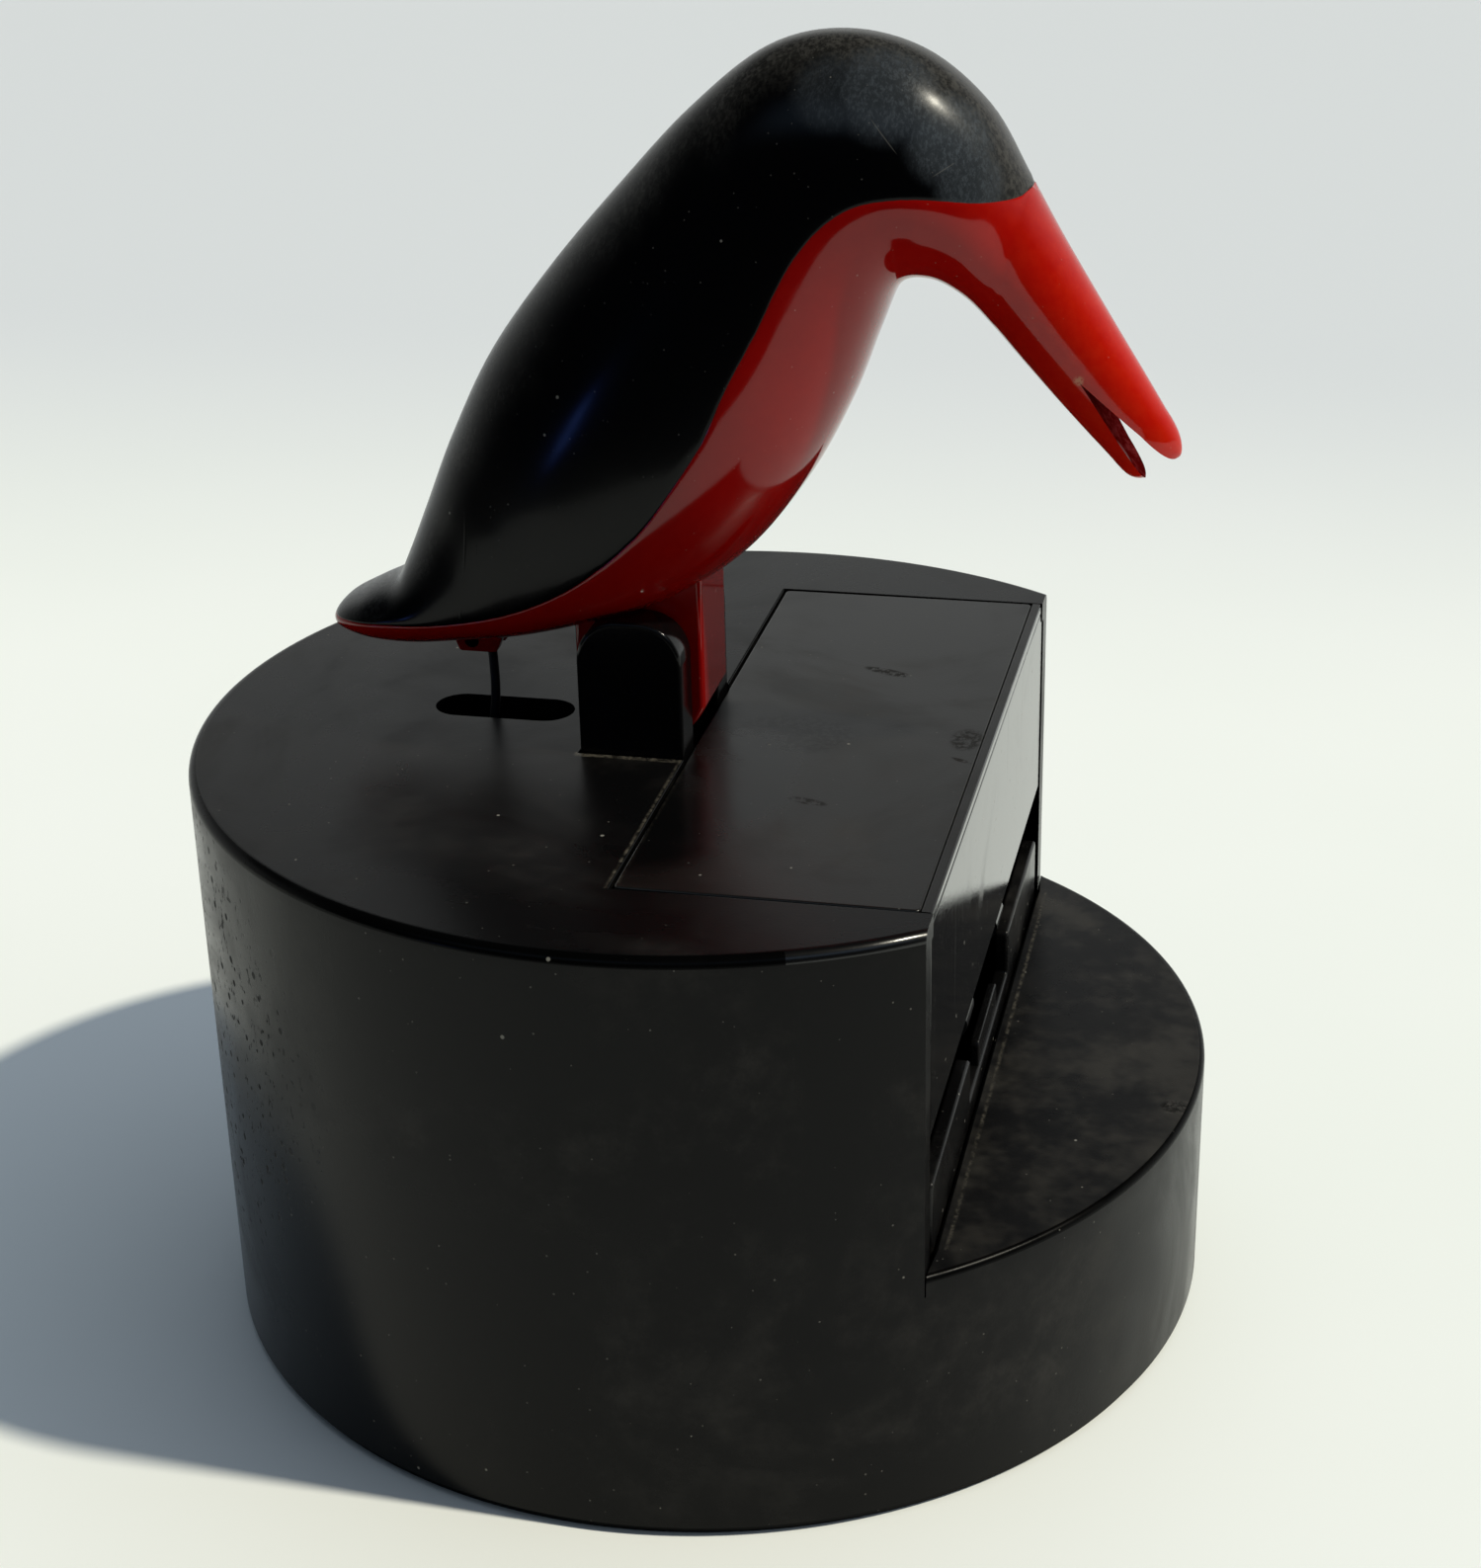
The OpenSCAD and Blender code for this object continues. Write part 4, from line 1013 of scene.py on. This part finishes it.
class DISPENSER_OT_drum(bpy.types.Operator):
    """Drum housing, foot, lid, front panel and sill"""
    bl_idname = "dispenser.drum"
    bl_label = "Drum"

    def execute(self, context):
        s = context.scene.dispenser_drum
        edge, shade = s.edge / MM, tuple(s.shade)
        self.housing(edge, shade)
        self.lid(edge)
        self.panel(edge)
        self.sill()
        self.foot()
        return {"FINISHED"}

    def housing(self, edge, shade):
        """Side wall, top plate and low deck, in four blacks: wall, flat top, rim in a darker black
        painted as shade, and the worn rim next to the cut."""
        inner_r = DRUM_R - WALL
        turn = math.degrees(math.acos(CUT_X / inner_r))
        back = arc(0, 0, DRUM_R, CUT_TURN, 360 - CUT_TURN, BACK_STEPS)
        front = arc(0, 0, DRUM_R, -CUT_TURN, CUT_TURN, FRONT_STEPS)
        back_wall = np.vstack([back, arc(0, 0, inner_r, 360 - turn, turn, BACK_STEPS)])
        front_wall = np.vstack([front, arc(0, 0, inner_r, turn, -turn, FRONT_STEPS)])

        def finish_of(centre, normal):
            x, z = centre[:, 0], centre[:, 2]
            rim = np.where((x > WORN_FROM) & (x < CUT_X) & (z > WORN_ABOVE), 3, 2)
            return np.where(normal[:, 2] > 0.985, 1, np.where(normal[:, 2] > 0.03, rim, 0))

        parts = [self.top(edge, back), plate(back_wall, FOOT_Z, TOP_Z - WALL, 0.0),
                 plate(front_wall, FOOT_Z, DECK_Z - WALL, 0.0), self.deck(front)]
        obj = piece(
            "drum_housing", parts,
            moulded_black("drum_black", shade, rough=0.24, dust=0.8, pits=WALL_PITS),
            moulded_black("drum_top_black", shade, rough=0.27, dust=0.5, level=0.22,
                          dusty=TOP_DUST, rubs_and_shade=DECK_MARKS),
            # The rim's black is darker and barely reflective, with no dust: painted shade for the
            # rim's dark band
            moulded_black("drum_rim_painted_shade_black", (0.001, 0.001, 0.001), rough=0.2, dust=0.0,
                          specks=0.3, level=0.06),
            moulded_black("drum_rim_worn_black", shade, rough=0.22, dust=0.1, specks=0.3,
                          level=0.5, sag=0.36),
            pick=finish_of)
        dress(obj, "base", "satin_black", "drum_shell")

    def rolled(self, outline, round_part, rim, edge):
        """Inward directions and rolls of a plate whose first points run round
        the drum: these roll towards the axis, and where they meet the cut
        they move along it."""
        n = len(round_part)
        inward, roll = left_of(outline), np.full(len(outline), edge)
        inward[:n], roll[:n] = -round_part / DRUM_R, rim
        return inward, roll, (math.sqrt((DRUM_R - rim) ** 2 - CUT_X ** 2) - CUT_HALF) / rim

    def top(self, edge, back):
        """The top plate, open for the lid, the ears and the wire. It ends
        square at the cut."""
        y, x0 = LID_HIGH[1] + LID_GAP, LID_LOW[0] - LID_GAP
        ey, ex = EAR_OUT + EAR_GAP, EARS_LOW[0] - EAR_GAP
        outline = np.vstack([back, [[CUT_X, -y], [x0, -y], [x0, -ey], [ex, -ey],
                                    [ex, ey], [x0, ey], [x0, y], [CUT_X, y]]])
        inward, roll, shrink = self.rolled(outline, back, TOP_RIM, edge)
        n = len(back)
        inward[0], inward[n - 1] = (0, shrink), (0, -shrink)
        inward[[n, -1]] = roll[[n, -1]] = 0
        slot = np.vstack([arc(SLOT_FRONT, 0, SLOT_R, -90, 90, 24),
                          arc(SLOT_BACK, 0, SLOT_R, 90, 270, 24)])
        return plate(outline, TOP_Z - WALL, TOP_Z, roll, 0.0, holes=[slot], pull=inward,
                     steps=RIM_STEPS)

    def deck(self, front):
        """The low deck, which also rolls over along the cut."""
        x = CUT_X + DECK_GAP
        outline = np.vstack([front[1:-1], [[x, CUT_HALF], [x, DECK_FLANK],
                                           [x, -DECK_FLANK], [x, -CUT_HALF]]])
        inward, roll, shrink = self.rolled(outline, front[1:-1], DECK_RIM, DECK_BACK_ROLL)
        n = len(front) - 2
        inward[n], inward[-1] = (0, shrink), (0, -shrink)
        roll[[n, -1]] = DECK_RIM
        return plate(outline, DECK_Z - WALL, DECK_Z, roll, 0.0, pull=inward, steps=RIM_STEPS)

    def lid(self, edge):
        """The fill lid, dusty at its back edge and marked where hands rub it, with a patch of
        painted shade at its near back part.
        """
        outline = rounded(box_outline(LID_LOW[0], LID_HIGH[0], LID_LOW[1], LID_HIGH[1]), 0.5)
        black = moulded_black("lid_black", LID_BLACK, dust=0.9, rough=0.30, specks=0.7,
                              level=0.5, dusty=LID_DUST, rubs_and_shade=LID_MARKS)
        dress(piece("lid_plate", [plate(outline, LID_LOW[2], LID_HIGH[2], edge)], black),
              "base", "satin_black", "fill_lid")

    def panel(self, edge):
        """The glossy front panel, its backing, and the narrow bar above it."""
        front = CUT_X - PANEL_INSET

        def board(half, low, high, back, ahead, roll, roll_back=None):
            return plate(box_outline(-half, half, low, high), front - back, front - ahead,
                         roll, roll_back, plane="yz")

        half, low = PANEL_HIGH[1], PANEL_LOW[2]
        face = board(half, low, BAR_Z, PANEL_FACE_T, 0.0, edge)
        backing = board(half, low, BACKING_TOP, PANEL_T, PANEL_FACE_T - OVERLAP, 0.05)
        bar_t = front - LID_HIGH[0] - BAR_GAP
        bar = board(BAR_HALF, BAR_Z, TOP_Z, bar_t, 0.0, 0.25, 0.04)
        gloss = moulded_black("panel_black", rough=0.04, dust=0.7, specks=0.9, streaks=1.6,
                              level=0.35)
        satin = moulded_black("bar_black", LID_BLACK, rough=0.30, dust=0.5, level=0.4)
        obj = piece("panel_plate", [face, backing, bar], gloss, satin,
                    pick=lambda centre, normal: normal[:, 2] > 0.98)
        dress(obj, "base", "gloss_black", "front_panel")

    def sill(self):
        """The sill under the pick slot, with the beak's notch."""
        y, top = SILL_HIGH[1], SILL_HIGH[2]
        face = CUT_X - SILL_INSET
        back = face - SILL_T
        outline = rounded([[-y, SILL_LOW_Z], [y, SILL_LOW_Z], [y, top], [NOTCH_HALF, top],
                           [NOTCH_HALF, NOTCH_Z], [-NOTCH_HALF, NOTCH_Z], [-NOTCH_HALF, top],
                           [-y, top]], [0, 0, 0.5, 0.5, 0.3, 0.3, 0.5, 0.5])
        plank = plate(outline, back, face, 0.3, plane="yz")
        tongue = box_outline(-TONGUE_HALF, TONGUE_HALF, TONGUE_LOW, TONGUE_TOP)
        tongue = plate(rounded(tongue, [0, 0, 0.6, 0.6]), face - 1.0, face - 0.2, 0.15, plane="yz")
        flange = box_outline(back + OVERLAP, face + FLANGE_L, -FLANGE_HALF, FLANGE_HALF)
        flange = plate(flange, FLANGE_LOW, FLANGE_TOP, 0.1)
        black = moulded_black("sill_black", rough=0.25, dust=1.0, specks=1.0, streaks=0.4,
                              level=0.25)
        dress(piece("sill_plank", [plank, tongue, flange], black),
              "base", "satin_black", "pick_sill")

    def foot(self):
        """The bottom cover, with its plug inside the drum's wall."""
        foot = plate(arc(0, 0, FOOT_HIGH[0], 0, 359, 360), 0, FOOT_Z, 0.15)
        plug = plate(arc(0, 0, DRUM_R - WALL - PLUG_GAP, 0, 359, 360), FOOT_Z - OVERLAP,
                     FOOT_HIGH[2], 0.1)
        obj = piece("foot_cover", [foot, plug], moulded_black("foot_black", rough=0.4))
        dress(obj, "base", "satin_black", "bottom_cover")


class DISPENSER_OT_linkage(bpy.types.Operator):
    """The wire that links the bird to the feed"""
    bl_idname = "dispenser.linkage"
    bl_label = "Linkage wire"

    def execute(self, context):
        hx, hz = HOOK
        ex, ez = CRANK_EYE
        hook = np.insert(arc(hx, hz, HOOK_R, 180, 0, 25), 1, 0, axis=1)
        free_end = [[hx - HOOK_R, 0, hz - 1.7], [hx - HOOK_R, 0, hz - 0.6]]
        run = through([[hx + HOOK_R, 0, hz - 0.2], [hx + HOOK_R - 0.2, 0, TOP_Z - 1.2],
                       [ex + 0.3, 0, TOP_Z - 14], [ex, 0, ez + 4], [ex, 0, ez + EYE_R]], 8)
        bend = np.insert(arc(EYE_R, ez + EYE_R, EYE_R, 180, 270, 9)[1:], 0, ex, axis=1)
        line = np.vstack([free_end, hook, run, bend, [[ex, EYE_END, ez]]])
        dark = plain_metal("wire_dark", (0.05, 0.05, 0.055), 0.45)
        dress(piece("link_rod", [swept(line, WIRE_R)], dark), "wire", "dark_steel", "link_wire")
        return {"FINISHED"}


class DISPENSER_OT_insides(bpy.types.Operator):
    """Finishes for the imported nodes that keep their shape"""
    bl_idname = "dispenser.insides"
    bl_label = "Inner parts"

    def execute(self, context):
        inner = moulded_black("inner_grey", (0.012, 0.012, 0.013), rough=0.3, dust=0.8)
        tray = moulded_black("tray_black", (0.006, 0.006, 0.007), rough=0.15, dust=0.3, level=0.6)
        steel = plain_metal("steel", (0.55, 0.55, 0.56), 0.3)
        dark = plain_metal("steel_dark", (0.08, 0.08, 0.085), 0.4)
        pin = moulded_black("pin_black", rough=0.2)
        use = {"hopper": inner, "crank_bracket": inner, "feed_crank": inner, "feed_tray": tray,
               "link_pin": dark, "pivot_pin": pin}
        for name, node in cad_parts.items():
            if not node.hide_render:
                node.data.materials.clear()
                node.data.materials.append(use.get(name, steel))
        return {"FINISHED"}


class DISPENSER_PT_panel(bpy.types.Panel):
    """Lists the steps that build the dispenser"""
    bl_idname = "DISPENSER_PT_panel"
    bl_label = "Toothpick dispenser"
    bl_space_type = "VIEW_3D"
    bl_region_type = "UI"
    bl_category = "Dispenser"

    def draw(self, context):
        for group in GROUPS:
            box = self.layout.box()
            data = getattr(context.scene, group)
            for key in data.__annotations__:
                box.prop(data, key)
        for op in STEPS:
            self.layout.operator(op)


STEPS = ("dispenser.stage", "dispenser.drum", "dispenser.hinge", "dispenser.bird",
         "dispenser.linkage", "dispenser.insides")
CLASSES = (StageSettings, DrumSettings, BirdSettings, DISPENSER_OT_stage, DISPENSER_OT_drum,
           DISPENSER_OT_hinge, DISPENSER_OT_bird, DISPENSER_OT_linkage, DISPENSER_OT_insides,
           DISPENSER_PT_panel)
GROUPS = {"dispenser_stage": StageSettings, "dispenser_drum": DrumSettings,
          "dispenser_bird": BirdSettings}


def register():
    for cls in CLASSES:
        bpy.utils.register_class(cls)
    for key, group in GROUPS.items():
        setattr(bpy.types.Scene, key, bpy.props.PointerProperty(type=group))


def unregister():
    for key in GROUPS:
        delattr(bpy.types.Scene, key)
    for cls in reversed(CLASSES):
        bpy.utils.unregister_class(cls)


def main():
    """Registers the add-on and builds every piece in order."""
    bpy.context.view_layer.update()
    register()
    for step in STEPS:
        group, name = step.split(".")
        getattr(getattr(bpy.ops, group), name)()


if __name__ == "__main__":
    main()
